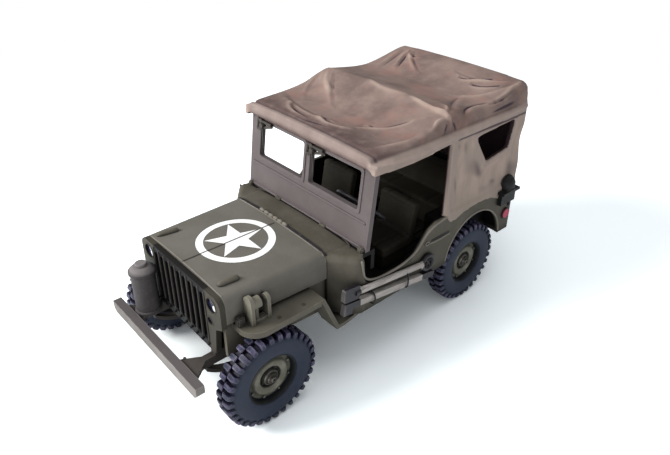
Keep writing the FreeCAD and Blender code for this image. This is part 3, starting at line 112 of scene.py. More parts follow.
# %% A socket that does sums
class Mask:
    """A number that varies over a surface."""

    def __init__(self, nodes, socket):
        self.nodes, self.socket = nodes, socket

    def _sum(self, operation, *values, clamp=False):
        return self.nodes.node("ShaderNodeMath", dict(operation=operation, use_clamp=clamp),
                               dict(enumerate(values)))

    def __add__(self, other):
        return self._sum("ADD", self, other)

    def __sub__(self, other):
        return self._sum("SUBTRACT", self, other)

    def __mul__(self, other):
        return self._sum("MULTIPLY", self, other)

    def __rsub__(self, other):
        return self._sum("SUBTRACT", other, self)

    __radd__, __rmul__ = __add__, __mul__

    def clamped(self):
        return self._sum("ADD", self, 0.0, clamp=True)

    def absolute(self):
        return self._sum("ABSOLUTE", self)

    def above(self, low, high):
        """0 below low, 1 above high, and a smooth step between them."""
        return self.nodes.node("ShaderNodeMapRange", dict(interpolation_type="SMOOTHSTEP"),
                               {0: self, 1: low, 2: high})


print("a mask can", [name for name in vars(Mask) if not name.startswith("_")])

# %% [markdown]
# ## Materials that make their own nodes
#
# Every other node comes from one method, so that a node's type, its settings and its inputs stand in
# one line. On top of it a Finish has the few things that paint needs again and again: a place on the
# piece in millimetres, cloudy noise, the edges, and the hollows where a thin wash and painted shade would
# gather.

# %% A tree of nodes, and the finish of a surface
# places of the colour sockets on a Mix node
COLOUR_FIRST, COLOUR_SECOND, COLOUR_OUT = 6, 7, 2
EDGE_TURN = (0.01, 0.22)
EDGE_SAMPLES, HOLLOW_SAMPLES = 4, 6


class Nodes:
    """A node tree, and the one way to add a node to it."""

    def __init__(self, tree):
        self.tree = tree

    def node(self, kind, settings=None, inputs=None, output=0):
        """Adds a node: its type, then its settings, then the values or links of its sockets."""
        made = self.tree.nodes.new(kind)
        for name, value in (settings or {}).items():
            setattr(made, name, value)
        for place, value in (inputs or {}).items():
            if isinstance(value, Mask):
                self.tree.links.new(value.socket, made.inputs[place])
            else:
                made.inputs[place].default_value = value
        return Mask(self, made.outputs[output])

    def show(self, shader, output):
        """Makes a shader the surface of the material or the world."""
        self.tree.links.new(shader.socket, self.tree.nodes[output].inputs["Surface"])


class Finish(Nodes):
    """One material, made for one kind of surface on the model."""

    def __init__(self, name, **fixed):
        self.material = bpy.data.materials.new(name)
        self.material.use_nodes = True
        super().__init__(self.material.node_tree)
        self.shader = self.tree.nodes["Principled BSDF"]
        for socket, value in fixed.items():
            self.shader.inputs[socket.replace("_", " ")].default_value = value

    def vector(self, operation, *values, output=0):
        return self.node("ShaderNodeVectorMath", dict(operation=operation), dict(enumerate(values)), output)

    def part(self, vector, axis):
        return self.node("ShaderNodeSeparateXYZ", None, {0: vector}, output=axis)

    def position(self, scale=1.0, stretch=(1, 1, 1)):
        """Where a point is on its piece, in millimetres, so that a texture keeps the model's scale."""
        place = self.node("ShaderNodeTexCoord", output="Object")
        return self.vector("MULTIPLY", place, [scale * way / MM for way in stretch])

    def along(self, axis):
        """One coordinate of a point on its piece, in millimetres."""
        return self.part(self.position(), axis)

    def from_axle(self):
        """How far a point is from the X axis of its piece, in millimetres."""
        return self.vector("LENGTH", self.vector("MULTIPLY", self.position(), (0, 1, 1)), output=1)

    def noise(self, grain, detail=3.0, roughness=0.55, stretch=(1, 1, 1), shift=0.0):
        """Cloudy noise whose patches are about grain millimetres wide."""
        place = self.position(1 / grain, stretch)
        if shift:
            place = self.vector("ADD", place, (shift, shift, shift))
        return self.node("ShaderNodeTexNoise", None,
                         {"Vector": place, "Scale": 1.0, "Detail": detail, "Roughness": roughness})

    def mix(self, mask, first, second):
        """A colour that goes from first to second with the mask."""
        colours = {place: value if isinstance(value, Mask) else (*value, 1)
                   for place, value in ((COLOUR_FIRST, first), (COLOUR_SECOND, second))}
        return self.node("ShaderNodeMix", dict(data_type="RGBA"), {0: mask, **colours}, output=COLOUR_OUT)

    def edges(self, width):
        """Bright on convex and concave edges: where the normal of a rounded edge leaves the face's own."""
        rounded = self.node("ShaderNodeBevel", dict(samples=EDGE_SAMPLES), {"Radius": width * MM})
        flat = self.node("ShaderNodeNewGeometry", output="Normal")
        return (1 - self.vector("DOT_PRODUCT", rounded, flat, output=1)).above(*EDGE_TURN)

    def hollows(self, reach):
        """1 in the open, and near 0 deep in a recess."""
        return self.node("ShaderNodeAmbientOcclusion", dict(samples=HOLLOW_SAMPLES),
                         {"Distance": reach * MM}, output="AO")

    def surface(self, colour=None, roughness=None, metallic=None, bump=None, height=0.05, coat=None):
        """Feeds what the shader shows; bump is a mask of heights, height its size in millimetres."""
        for socket, value in (("Base Color", colour), ("Roughness", roughness), ("Metallic", metallic),
                              ("Coat Weight", coat)):
            if isinstance(value, Mask):
                self.tree.links.new(value.socket, self.shader.inputs[socket])
            elif value is not None:
                self.shader.inputs[socket].default_value = value
        if bump is not None:
            raised = self.node("ShaderNodeBump", None,
                               {"Height": bump, "Distance": height * MM, "Strength": 1.0})
            self.tree.links.new(raised.socket, self.shader.inputs["Normal"])
        return self


print("a finish knows", [name for name in vars(Finish) if not name.startswith("_")])

# %% [markdown]
# ## Painted armour plate
#
# The panels are sprayed olive drab, then washed with thin dark paint that stays in the corners, and
# drybrushed: a nearly dry brush leaves pale paint on the edges only. A Bevel node finds the edges and
# an Ambient Occlusion node finds the corners, so that one recipe fits every panel, whatever its shape;
# the dark it puts in the corners is the wash and painted shade at once. Two places lie in deep shade,
# the inside of the tub under the canvas and the bars of the grille, so the recipe can also paint that
# shade, nearly black, on what lies between given planes.

# %% Where painted shade makes the paint dark
# each pair says where the shade begins and where it is full, in millimetres from the model's origin
TUB_SIDES, TUB_FRONT, TUB_REAR, TUB_FLOOR = (12.65, 12.8), (-6.0, -5.8), (24.9, 25.1), (9.85, 10.05)
BARS_SIDES, BARS_TOP = (5.7, 6.1), (17.9, 18.3)


def inside_tub(finish):
    """1 on what lies inside the tub's walls."""
    length = finish.along("Y")
    across = 1 - finish.along("X").absolute().above(*TUB_SIDES)
    between = length.above(*TUB_FRONT) * (1 - length.above(*TUB_REAR))
    return across * between * finish.along("Z").above(*TUB_FLOOR)


def on_bars(finish):
    """1 on the middle of the grille, below its top rail."""
    across = 1 - finish.along("X").absolute().above(*BARS_SIDES)
    return across * (1 - finish.along("Z").above(*BARS_TOP))


# painted shade: nearly black inside the tub, under the canvas, and on the grille's bars
TUB_SHADE = (inside_tub, 0.97, (0.0030, 0.0026, 0.0026))
BARS_SHADE = (on_bars, 0.96, (0.004, 0.004, 0.005))
print("shaded: tub", TUB_FRONT, "to", TUB_REAR, "bars", BARS_SIDES)

# %% The recipe for brushed paint
MATT = 0.12
PATCH_SIZE, SPECK_SIZE, SCUFF_SIZE, GRAIN_SIZE = 5.0, 0.5, 1.1, 0.18
SPECK_SHARE, CAP_SHARE, TOP_SHADE_SHARE, LOW_SHADE_SHARE = 0.22, 0.85, 0.8, 0.72
FACING_UP = (0.6, 0.9)
CORNER_DEPTH = (0.12, 0.75)
EDGE_GAIN = 1.55
GRAIN_HEIGHT = 0.012


def brushed_paint(name, base, worn, wash_and_shade, patches=0.35, edge_width=0.16, edge_strength=0.75, roughness=0.62,
                  wash_and_shade_reach=1.6, wash_and_shade_strength=0.8, cap_from=None, top=None, low_shade=None, shade=None):
    """Flat colour with cloudy patches, a dark wash and painted shade in the corners, pale paint on the edges.
    """
    finish = Finish(name, Specular_IOR_Level=MATT)
    cloud = finish.noise(PATCH_SIZE, detail=4).above(0.35, 0.7)
    fine = finish.noise(SPECK_SIZE, detail=5, roughness=0.7)
    scuffs = finish.noise(SCUFF_SIZE, detail=4, stretch=(1, 1, 0.35), shift=7.3).above(0.5, 0.75)
    colour = finish.mix(cloud * patches, base, worn)
    colour = finish.mix(fine.above(0.45, 0.8) * SPECK_SHARE, colour, worn)
    if cap_from:
        colour = finish.mix(finish.along("Z").above(*cap_from) * CAP_SHARE, colour, worn)
    # painted shade: faces that look up are darkened towards the top colour
    if top:
        upward = finish.part(finish.node("ShaderNodeNewGeometry", output="Normal"), "Z")
        colour = finish.mix(upward.above(*FACING_UP) * TOP_SHADE_SHARE, colour, top)
    # painted shade low on a panel: darker towards the bottom
    if low_shade:
        colour = finish.mix((1 - finish.along("Z").above(*low_shade)) * LOW_SHADE_SHARE, colour, wash_and_shade)
    # the dark in the corners is the wash and painted shade together
    corners = (1 - finish.hollows(wash_and_shade_reach)).above(*CORNER_DEPTH) * wash_and_shade_strength
    colour = finish.mix(corners, colour, wash_and_shade)
    brushed = finish.edges(edge_width) * (0.35 + scuffs * 0.65) * edge_strength
    colour = finish.mix(brushed, colour, tuple(min(1.0, channel * EDGE_GAIN) for channel in worn))
    if shade:
        where, share, dark = shade
        colour = finish.mix(where(finish) * share, colour, dark)
    grain = finish.noise(GRAIN_SIZE) * 0.6 + fine * 0.4
    return finish.surface(colour=colour, roughness=roughness - 0.12 + fine * 0.24, bump=grain,
                          height=GRAIN_HEIGHT)


print("patches", PATCH_SIZE, "mm, specks", SPECK_SIZE, "mm")

# %% The paints of the bodywork
NEARLY_BLACK = (0.012, 0.012, 0.010)
OLIVE = brushed_paint("olive_drab", (0.105, 0.098, 0.077), (0.168, 0.152, 0.132), NEARLY_BLACK,
                      edge_strength=0.9)
# the grille's dark olive and its deep wash are partly painted shade, as the grille stands in shade
GRILLE_PAINT_AND_SHADE = brushed_paint("grille_dark_olive_and_shade", (0.046, 0.042, 0.033), (0.100, 0.092, 0.074),
                             (0.004, 0.004, 0.004), patches=0.15, wash_and_shade_reach=3.0, wash_and_shade_strength=0.97,
                             edge_width=0.09, edge_strength=0.45, shade=BARS_SHADE)
# the tub's paint gets painted shade low on its sides and inside the tub
TUB_PAINT_AND_SHADE = brushed_paint("tub_olive_drab_and_shade", (0.080, 0.073, 0.056), (0.170, 0.152, 0.132), NEARLY_BLACK,
                          wash_and_shade_reach=2.6, wash_and_shade_strength=0.9, low_shade=(9.0, 11.0), shade=TUB_SHADE)
BONNET_PAINT = brushed_paint("bonnet_olive_drab", (0.128, 0.121, 0.104), (0.198, 0.186, 0.170), NEARLY_BLACK,
                             edge_width=0.22, edge_strength=0.95)
CAN_PAINT = brushed_paint("can_dark_olive", (0.062, 0.056, 0.058), (0.200, 0.185, 0.185),
                          (0.008, 0.008, 0.009), patches=0.15, cap_from=(15.0, 15.5))
GUARD_PAINT = brushed_paint("guard_olive", (0.150, 0.142, 0.112), (0.260, 0.245, 0.205), NEARLY_BLACK,
                            edge_strength=0.95)
SCREEN_PAINT = brushed_paint("screen_grey_brown", (0.124, 0.105, 0.107), (0.182, 0.157, 0.159),
                             (0.022, 0.018, 0.022), edge_strength=0.85)
# the bumper's upward faces get painted shade
BUMPER_PAINT = brushed_paint("bumper_worn_olive", (0.148, 0.136, 0.129), (0.285, 0.264, 0.253),
                             (0.025, 0.022, 0.020), edge_strength=0.9, patches=0.6, top=(0.085, 0.073, 0.078))
DARK_OLIVE = brushed_paint("chassis_dark_olive", (0.050, 0.045, 0.040), (0.110, 0.095, 0.088),
                           (0.006, 0.006, 0.007))
# the seats are painted nearly black: painted shade under the canvas
SEAT_SHADE_PAINT = brushed_paint("seat_painted_shade", (0.018, 0.016, 0.012), (0.048, 0.043, 0.033), (0.004, 0.004, 0.004),
                           roughness=0.72)
LIP_PAINT = brushed_paint("rubbed_edge", (0.185, 0.170, 0.145), (0.300, 0.275, 0.240), (0.020, 0.018, 0.016),
                          edge_strength=0.3)
print("paints", [finish.material.name for finish in (OLIVE, GRILLE_PAINT_AND_SHADE, TUB_PAINT_AND_SHADE, BONNET_PAINT, CAN_PAINT,
                                                     GUARD_PAINT, SCREEN_PAINT, BUMPER_PAINT, DARK_OLIVE,
                                                     SEAT_SHADE_PAINT, LIP_PAINT)])

# %% [markdown]
# ## Tools, black paint and lamps
#
# The shovel and the axe lie along the car and are one moulding each, so their wood and steel are told
# apart by paint alone. The finish therefore changes colour along Y: a steel head in front, a wooden
# handle, and a dark steel grip behind. Two materials would need the solid cut in two.

# %% Paint of the tools
# where each change of colour begins and is full, along the car
TOOL_TIP, TOOL_HEAD, TOOL_GRIP = (-10.25, -9.75), (-7.5, -7.4), (4.2, 4.3)
WOOD, PALE_WOOD, SCRATCHED_WOOD = (0.270, 0.245, 0.228), (0.470, 0.440, 0.420), (0.52, 0.48, 0.45)
STEEL, RUBBED_STEEL, WORN_STEEL = (0.012, 0.010, 0.014), (0.30, 0.27, 0.29), (0.62, 0.58, 0.55)
TOOL_SHADE = (0.014, 0.012, 0.014)


def tool_paint():
    """Wooden handles between a steel head and a dark steel grip, rubbed bright by hands."""
    finish = Finish("tool_paint", Specular_IOR_Level=0.3)
    grain = finish.noise(grain=0.45, detail=5, roughness=0.7, stretch=(1, 0.12, 1))
    scratch = finish.noise(grain=0.25, detail=3, stretch=(1, 0.06, 1), shift=11.0).above(0.58, 0.7)
    wood = finish.mix(grain.above(0.35, 0.7), WOOD, PALE_WOOD)
    wood = finish.mix(scratch * 0.85, wood, SCRATCHED_WOOD)
    patches = finish.noise(grain=0.6, detail=5, shift=3.1).above(0.55, 0.75)
    rubbed = (finish.edges(width=0.14) + patches * 0.5).clamped()
    steel = finish.mix(rubbed * 0.22, STEEL, RUBBED_STEEL)
    length = finish.along("Y")
    metal = ((1 - length.above(*TOOL_HEAD)) + length.above(*TOOL_GRIP)).clamped()
    colour = finish.mix(metal, wood, steel)
    colour = finish.mix((1 - length.above(*TOOL_TIP)) * 0.16, colour, WORN_STEEL)
    colour = finish.mix((1 - finish.hollows(reach=0.8)).above(0.25, 0.85) * 0.85, colour, TOOL_SHADE)
    return finish.surface(colour=colour, roughness=0.58 + grain * 0.12 - metal * 0.2,
                          metallic=metal * rubbed * 0.6, bump=grain, height=0.035)


TOOLS = tool_paint()
print("tools turn from steel to wood at", TOOL_HEAD, "and back at", TOOL_GRIP)

# %% Gloss paint, and the glass of the lamps
# x, height, radius of the glass, radius of the rim round it
LENSES = [(side * x, z, glass, rim) for x, z, glass, rim in ((7.2, 16.5, 0.95, 1.02), (6.6, 14.0, 0.5, 0.58))
          for side in (1, -1)]
LENS_FRONT = -23.9
DAB_ASIDE, DAB_DOWN, DAB_SIZE = 0.32, 0.4, 0.45
NAVY, PALE_NAVY, GLINT = (0.010, 0.010, 0.030), (0.030, 0.030, 0.075), (0.86, 0.88, 0.90)


def gloss_paint(name, dark, dust, roughness=0.5, coat=0.0, edge=0.5):
    """A dark, fairly shiny colour with a little dust and rubbed edges."""
    finish = Finish(name, Coat_Roughness=0.1, Specular_IOR_Level=0.2)
    cloud = finish.noise(grain=0.8, detail=4).above(0.5, 0.8) * 0.5
    colour = finish.mix((cloud + finish.edges(width=0.12) * edge).clamped(), dark, dust)
    return finish.surface(colour=colour, roughness=roughness + cloud * 0.3, bump=finish.noise(grain=0.25),
                          height=0.012, coat=coat)


def lamp_glass():
    """Navy lenses, each with the dab of white that a painter gives to glass."""
    finish = Finish("lamp_glass", Coat_Roughness=0.05)
    place = finish.position()
    dabs = 0
    for x, z, glass, _rim in LENSES:
        centre = (x + DAB_ASIDE * glass, LENS_FRONT, z - DAB_DOWN * glass)
        size = DAB_SIZE * glass
        off = finish.vector("DISTANCE", place, centre, output=1)
        dabs = (1 - off.above(size * 0.8, size)) + dabs
    cloud = finish.noise(grain=0.5)
    colour = finish.mix(cloud.above(0.4, 0.7), NAVY, PALE_NAVY)
    colour = finish.mix(dabs.clamped(), colour, GLINT)
    return finish.surface(colour=colour, roughness=0.15, coat=0.8 + cloud * 0.2, bump=cloud, height=0.01)


BLACK = gloss_paint("black_paint", (0.010, 0.009, 0.011), (0.085, 0.078, 0.084))
ANTENNA_PAINT = gloss_paint("antenna_dark_grey", (0.008, 0.0075, 0.008), (0.050, 0.046, 0.046))
RED = gloss_paint("reflector_red", (0.44, 0.016, 0.055), (0.56, 0.060, 0.110), roughness=0.4, coat=0.15,
                  edge=0.3)
GLASS = lamp_glass()
print("small finishes", [finish.material.name for finish in (BLACK, ANTENNA_PAINT, RED, GLASS)])

# %% [markdown]
# ## Paint on the CAD pieces
#
# Most CAD nodes keep their shape and place, because they have the true form already; only what a close
# look shows is drawn again below. A finish goes on by its node's name, so the table is the painter's
# plan of the model.

# %% Assign the finishes
PLAN = {
    GRILLE_PAINT_AND_SHADE: ["grille"],
    OLIVE: ["left_fender", "right_fender", "fuel_can", "fuel_can_tray", "spare_carrier", "rear_bumperettes"],
    TUB_PAINT_AND_SHADE: ["body_tub", "cowl"],
    BONNET_PAINT: ["bonnet"],
    GUARD_PAINT: ["driving_lamp"],
    CAN_PAINT: ["condenser_can"],
    SCREEN_PAINT: ["windscreen"],
    BUMPER_PAINT: ["front_bumper"],
    DARK_OLIVE: ["chassis_frame", "front_axle", "rear_axle", "front_springs", "rear_springs", "drivetrain",
                 "exhaust", "wipers"],
    SEAT_SHADE_PAINT: ["driver_seat", "passenger_seat", "rear_seat"],
    BLACK: ["steering_wheel", "gear_levers", "tow_pintle"],
    ANTENNA_PAINT: ["antenna_base"],
    GLASS: ["headlamps", "marker_lamps"],
    RED: ["tail_lamps", "reflectors"],
    TOOLS: ["shovel", "axe"],
}


def put_on(mesh, finish):
    mesh.materials.clear()
    mesh.materials.append(finish.material)


for finish, names in PLAN.items():
    for name in names:
        put_on(NODES[name].data, finish)
print("painted", sum(len(names) for names in PLAN.values()), "CAD nodes")

# %% [markdown]
# ## Helpers for added shapes
#
# The small parts are drawn as a model maker would build them: rod bent round a path, a block with its
# edges rubbed down, a profile turned on a lathe. A Shape gathers such strokes in millimetres, with
# lengths along the car counted from the front axle, and becomes one object at the end. Faces that meet
# at a sharp angle keep their edge, and all others are smooth.

# %% Faces, meshes and pieces
ORIGIN_STATION = 20.0
SHARP = math.radians(38)


def woven(rows, count, round_rows=False, round_ring=True):
    """Faces between neighbouring rows of count points each; either way may close into a round."""
    faces = []
    for row in range(rows if round_rows else rows - 1):
        near, far = row * count, (row + 1) % rows * count
        for index in range(count if round_ring else count - 1):
            following = (index + 1) % count
            faces.append((near + index, near + following, far + following, far + index))
    return faces


def turned(profile, steps, closed=True):
    """Corners and faces of a profile of (x, radius) points turned about the X axis."""
    turns = [2 * math.pi * step / steps for step in range(steps)]
    corners = [(x, r * math.cos(turn), r * math.sin(turn)) for turn in turns for x, r in profile]
    faces = woven(steps, len(profile), round_rows=True, round_ring=closed)
    return corners, [(a, d, c, b) for a, b, c, d in faces]


def taken_from(drawing):
    """The corners and faces of a drawing in a bmesh, which is then let go."""
    drawing.verts.index_update()
    corners = [vertex.co.copy() for vertex in drawing.verts]
    faces = [[vertex.index for vertex in face.verts] for face in drawing.faces]
    drawing.free()
    return corners, faces


def mesh_of(name, corners, faces):
    """A mesh whose corners are given in millimetres."""
    mesh = bpy.data.meshes.new(name)
    mesh.from_pydata([Vector(corner) * MM for corner in corners], [], faces)
    return mesh


def shaded(mesh, sharp=SHARP):
    """Smooth faces, with sharp edges where they meet at more than an angle."""
    mesh.polygons.foreach_set("use_smooth", [True] * len(mesh.polygons))
    if sharp:
        mesh.set_sharp_from_angle(angle=sharp)
    return mesh


def place_piece(name, mesh, finish, replaces=(), body=CAR, matrix=None):
    """An object for a mesh, riding on a body."""
    put_on(mesh, finish)
    made = new_object(name, mesh)
    if matrix is not None:
        made.matrix_world = matrix
    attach(made, body)
    if replaces:
        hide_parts(*replaces)
    return made


print("stations are counted from", ORIGIN_STATION, "mm before the model's origin")

# %% A shape gathered from strokes
ROUND_TIP = ((0.0, 1.0), (0.6, 0.8), (0.95, 0.35))
WELD = 0.0005
LYING = {"X": lambda x, y, z: (x, y, z), "Y": lambda x, y, z: (y, x, z), "Z": lambda x, y, z: (y, z, x)}


class Shape:
    """One added piece, gathered from strokes in millimetres."""

    def __init__(self):
        self.corners, self.faces = [], []

    def add(self, corners, faces):
        start = len(self.corners)
        self.corners += [tuple(corner) for corner in corners]
        self.faces += [tuple(start + index for index in face) for face in faces]
        return self

    def block(self, low, high, edge=0.1):
        """A box with rounded edges between two corners."""
        box = bmesh.new()
        bmesh.ops.create_cube(box, size=1)
        low, high = Vector(low), Vector(high)
        for vertex in box.verts:
            vertex.co = low + (vertex.co + Vector((0.5, 0.5, 0.5))) * (high - low)
        bmesh.ops.bevel(box, geom=box.edges[:], offset=edge, segments=2, affect="EDGES", clamp_overlap=True)
        return self.add(*taken_from(box))

    def tube(self, points, radius, sides=8, closed=False, up=(0, 0, 1)):
        """A round bead along a path, with rounded ends; up must not lie along the path."""
        spots = [Vector(point) for point in points]
        radii = [radius] * len(spots)
        if not closed:
            ahead, behind = (spots[1] - spots[0]).normalized(), (spots[-1] - spots[-2]).normalized()
            spots = ([spots[0] - ahead * radius * out for out, _size in reversed(ROUND_TIP)] + spots[1:-1]
                     + [spots[-1] + behind * radius * out for out, _size in ROUND_TIP])
            radii = ([radius * size for _out, size in reversed(ROUND_TIP)] + radii[1:-1]
                     + [radius * size for _out, size in ROUND_TIP])
        rings, count = [], len(spots)
        for index, (spot, size) in enumerate(zip(spots, radii)):
            before = spots[index - 1] if index or closed else spot
            after = spots[(index + 1) % count] if index < count - 1 or closed else spot
            ahead = (after - before).normalized()
            side = ahead.cross(Vector(up)).normalized()
            rise = side.cross(ahead)
            rings += [spot + (side * math.cos(a) + rise * math.sin(a)) * size
                      for a in (2 * math.pi * k / sides for k in range(sides))]
        faces = woven(count, sides, round_rows=closed)
        if not closed:
            faces += [tuple(range(sides))[::-1], tuple(range((count - 1) * sides, count * sides))]
        return self.add(rings, faces)

    def rods_round(self, corners, radius):
        """Straight rods from corner to corner, and back to the first."""
        for one, other in zip(corners, corners[1:] + corners[:1]):
            self.tube([one, other], radius)
        return self

    def hoop(self, centre, radius, bead, axis, steps=24, height=None):
        """A bead bent into a circle that faces along X or Y, or into an ellipse with its own height."""
        x, y, z = centre
        across, along, up = (radius, 0, (0, 1, 0)) if axis == "Y" else (0, radius, (1, 0, 0))
        turns = [2 * math.pi * k / steps for k in range(steps)]
        path = [(x + across * math.cos(a), y + along * math.cos(a), z + (height or radius) * math.sin(a))
                for a in turns]
        return self.tube(path, bead, 6, closed=True, up=up)

    def lathe(self, profile, centre, axis="Z", steps=32):
        """A profile of (distance along the axis, radius), turned about an axis through a centre."""
        corners, faces = turned(profile, steps, closed=False)
        spots = [Vector(centre) + Vector(LYING[axis](*corner)) for corner in corners]
        return self.add(spots, [face[::-1] for face in faces] if axis == "Y" else faces)

    def mirror(self):
        """The same strokes on the other side of the car."""
        return self.add([(-x, y, z) for x, y, z in self.corners], [face[::-1] for face in self.faces])

    def mesh(self, name):
        origin = Vector((0, ORIGIN_STATION, 0))
        mesh = mesh_of(name, [Vector(corner) - origin for corner in self.corners], self.faces)
        mesh.validate()
        outer = bmesh.new()
        outer.from_mesh(mesh)
        bmesh.ops.remove_doubles(outer, verts=outer.verts, dist=WELD * MM)
        bmesh.ops.recalc_face_normals(outer, faces=outer.faces)
        outer.to_mesh(mesh)
        outer.free()
        return shaded(mesh)

    def place(self, name, finish, slot, replaces=()):
        return place_piece(name, self.mesh(name), finish, replaces)


def softened(points, rounds=2):
    """Cuts the corners of an open path, twice by default, and keeps its ends."""
    for _round in range(rounds):
        spots = [Vector(point) for point in points]
        cut = [spots[0]]
        for one, other in zip(spots, spots[1:]):
            cut += [one.lerp(other, 0.25), one.lerp(other, 0.75)]
        points = [tuple(spot) for spot in cut + [spots[-1]]]
    return points


print("strokes", [name for name in vars(Shape) if not name.startswith("_")])

# %% [markdown]
# ## Tyres
#
# The real tyre is a bar-tread military one: a smooth sidewall, and two staggered rows of chunky lugs
# whose outer ends hang over the shoulder. A turned profile gives the carcass. One lug is drawn as a
# tapered block, its edges are bevelled, and it is copied round the tyre on both sides. A bump texture
# would be quicker, but the lugs stand out of the tyre's outline, so they have to be real.

# %% Rubber
TREAD_FROM = (5.5, 6.0)
RUBBER_DARK, RUBBER_DUSTY = (0.014, 0.020, 0.038), (0.028, 0.036, 0.062)
RUBBER_BRUSHED, RUBBER_SHADE = (0.240, 0.205, 0.340), (0.003, 0.003, 0.008)


def rubber():
    """Dark blue-grey rubber with a lavender drybrush on the lugs."""
    finish = Finish("tyre_rubber", Specular_IOR_Level=0.2)
    tread = finish.from_axle().above(*TREAD_FROM)
    dust = finish.noise(grain=0.9, detail=5).above(0.4, 0.75)
    colour = finish.mix(dust * 0.6, RUBBER_DARK, RUBBER_DUSTY)
    rubbed = tread * dust * 0.22 + tread * finish.edges(width=0.17) * (0.5 + dust * 0.6)
    colour = finish.mix(rubbed.clamped(), colour, RUBBER_BRUSHED)
    colour = finish.mix((1 - finish.hollows(reach=0.9)).above(0.12, 0.6) * 0.95, colour, RUBBER_SHADE)
    return finish.surface(colour=colour, roughness=0.55 - tread * 0.12 + dust * 0.12,
                          bump=finish.noise(grain=0.2, detail=4), height=0.02)


RUBBER = rubber()
print("rubber gets its pale tread from a radius of", TREAD_FROM[0], "mm")

# %% One lug, and the whole tyre
LUGS = 32
TYRE_STEPS = 96
CARCASS = [(-1.0, 3.36), (-1.15, 3.42), (-1.27, 3.7), (-1.31, 4.4), (-1.32, 5.1), (-1.26, 5.5),
           (-1.05, 5.72), (-0.5, 5.8), (0.5, 5.8), (1.05, 5.72), (1.26, 5.5), (1.32, 5.1), (1.31, 4.4),
           (1.27, 3.7), (1.15, 3.42), (1.0, 3.36)]
# x, radius and half width of the bar at each corner of its outline
LUG = [(0.06, 5.6, 0.42), (0.06, 6.36, 0.32), (1.0, 6.38, 0.31), (1.28, 6.22, 0.30), (1.36, 5.85, 0.29),
       (1.34, 5.42, 0.33)]
LUG_EDGE = 0.08


def lug_drawing():
    """A bar of the tread: top narrower than its root, outer end cut back over the shoulder."""
    bar = bmesh.new()
    rings = [[bar.verts.new((x, side * half, r)) for x, r, half in LUG] for side in (-1, 1)]
    bar.faces.new(rings[0])
    bar.faces.new(list(reversed(rings[1])))
    for index in range(len(LUG)):
        following = (index + 1) % len(LUG)
        bar.faces.new((rings[0][following], rings[0][index], rings[1][index], rings[1][following]))
    bmesh.ops.recalc_face_normals(bar, faces=bar.faces)
    bmesh.ops.bevel(bar, geom=bar.edges[:], offset=LUG_EDGE, segments=2, affect="EDGES", clamp_overlap=True)
    return bar


def tyre_mesh():
    """The carcass with a row of lugs on each side, the second half a lug further round."""
    tyre = Shape().add(*turned(CARCASS, TYRE_STEPS))
    lug, patches = taken_from(lug_drawing())
    for side, start, loops in ((1, 0, patches), (-1, 0.5, [patch[::-1] for patch in patches])):
        for number in range(LUGS):
            turn = Matrix.Rotation(2 * math.pi * (number + start) / LUGS, 3, "X")
            tyre.add([turn @ Vector((side * spot.x, spot.y, spot.z)) for spot in lug], loops)
    return shaded(mesh_of("tyre", tyre.corners, tyre.faces))


TYRE = tyre_mesh()
print("a tyre has", 2 * LUGS, "lugs and", len(TYRE.polygons), "faces")

# %% [markdown]
# ## Wheel discs
#
# Inside the tyre sits a pressed steel disc, set well back: a rim, a flange with eight small nuts close
# to it, a broad raised ring, and a dark recess round a stepped hub with a worn metal end. All of it is
# round, so it is one turned profile, and the nuts are small studs set round it.

# %% The disc's paint
RIM_FROM, WELL_FROM, WELL_TO, HUB_TO = (2.92, 3.1), (0.9, 0.98), (1.4, 1.52), (0.9, 1.02)
DISC_OLIVE, DISC_WORN, DISC_EDGE = (0.120, 0.118, 0.092), (0.200, 0.192, 0.160), (0.30, 0.29, 0.25)
DISC_SHADE, HUB_DARK, HUB_METAL = (0.006, 0.007, 0.010), (0.034, 0.031, 0.027), (0.24, 0.22, 0.20)


def wheel_paint():
    """Olive paint by rings: dark at the rim and round the hub, bare metal on the hub's end."""
    finish = Finish("wheel_paint", Specular_IOR_Level=MATT)
    radius = finish.from_axle()
    cloud = finish.noise(grain=1.6, detail=5)
    colour = finish.mix(cloud.above(0.4, 0.7), DISC_OLIVE, DISC_WORN)
    brushed = finish.edges(width=0.14) * cloud.above(0.35, 0.6)
    colour = finish.mix(brushed * 0.8, colour, DISC_EDGE)
    dark = (1 - finish.hollows(reach=1.1)).above(0.15, 0.6)
    well = (1 - radius.above(*WELL_TO)) * radius.above(*WELL_FROM)
    shade = dark * 0.65 + radius.above(*RIM_FROM) * 0.9 + well * 0.2
    colour = finish.mix(shade.clamped(), colour, DISC_SHADE)
    hub = 1 - radius.above(*HUB_TO)
    metal = hub * cloud.above(0.5, 0.66)
    colour = finish.mix(hub * 0.85, colour, HUB_DARK)
    colour = finish.mix(metal * 0.75, colour, HUB_METAL)
    return finish.surface(colour=colour, roughness=0.6 - metal * 0.2, metallic=metal * 0.5,
                          bump=finish.noise(grain=0.25, detail=4), height=0.02)


WHEEL_PAINT = wheel_paint()
print("rings of paint: hub to", HUB_TO[1], "mm, rim from", RIM_FROM[0], "mm")

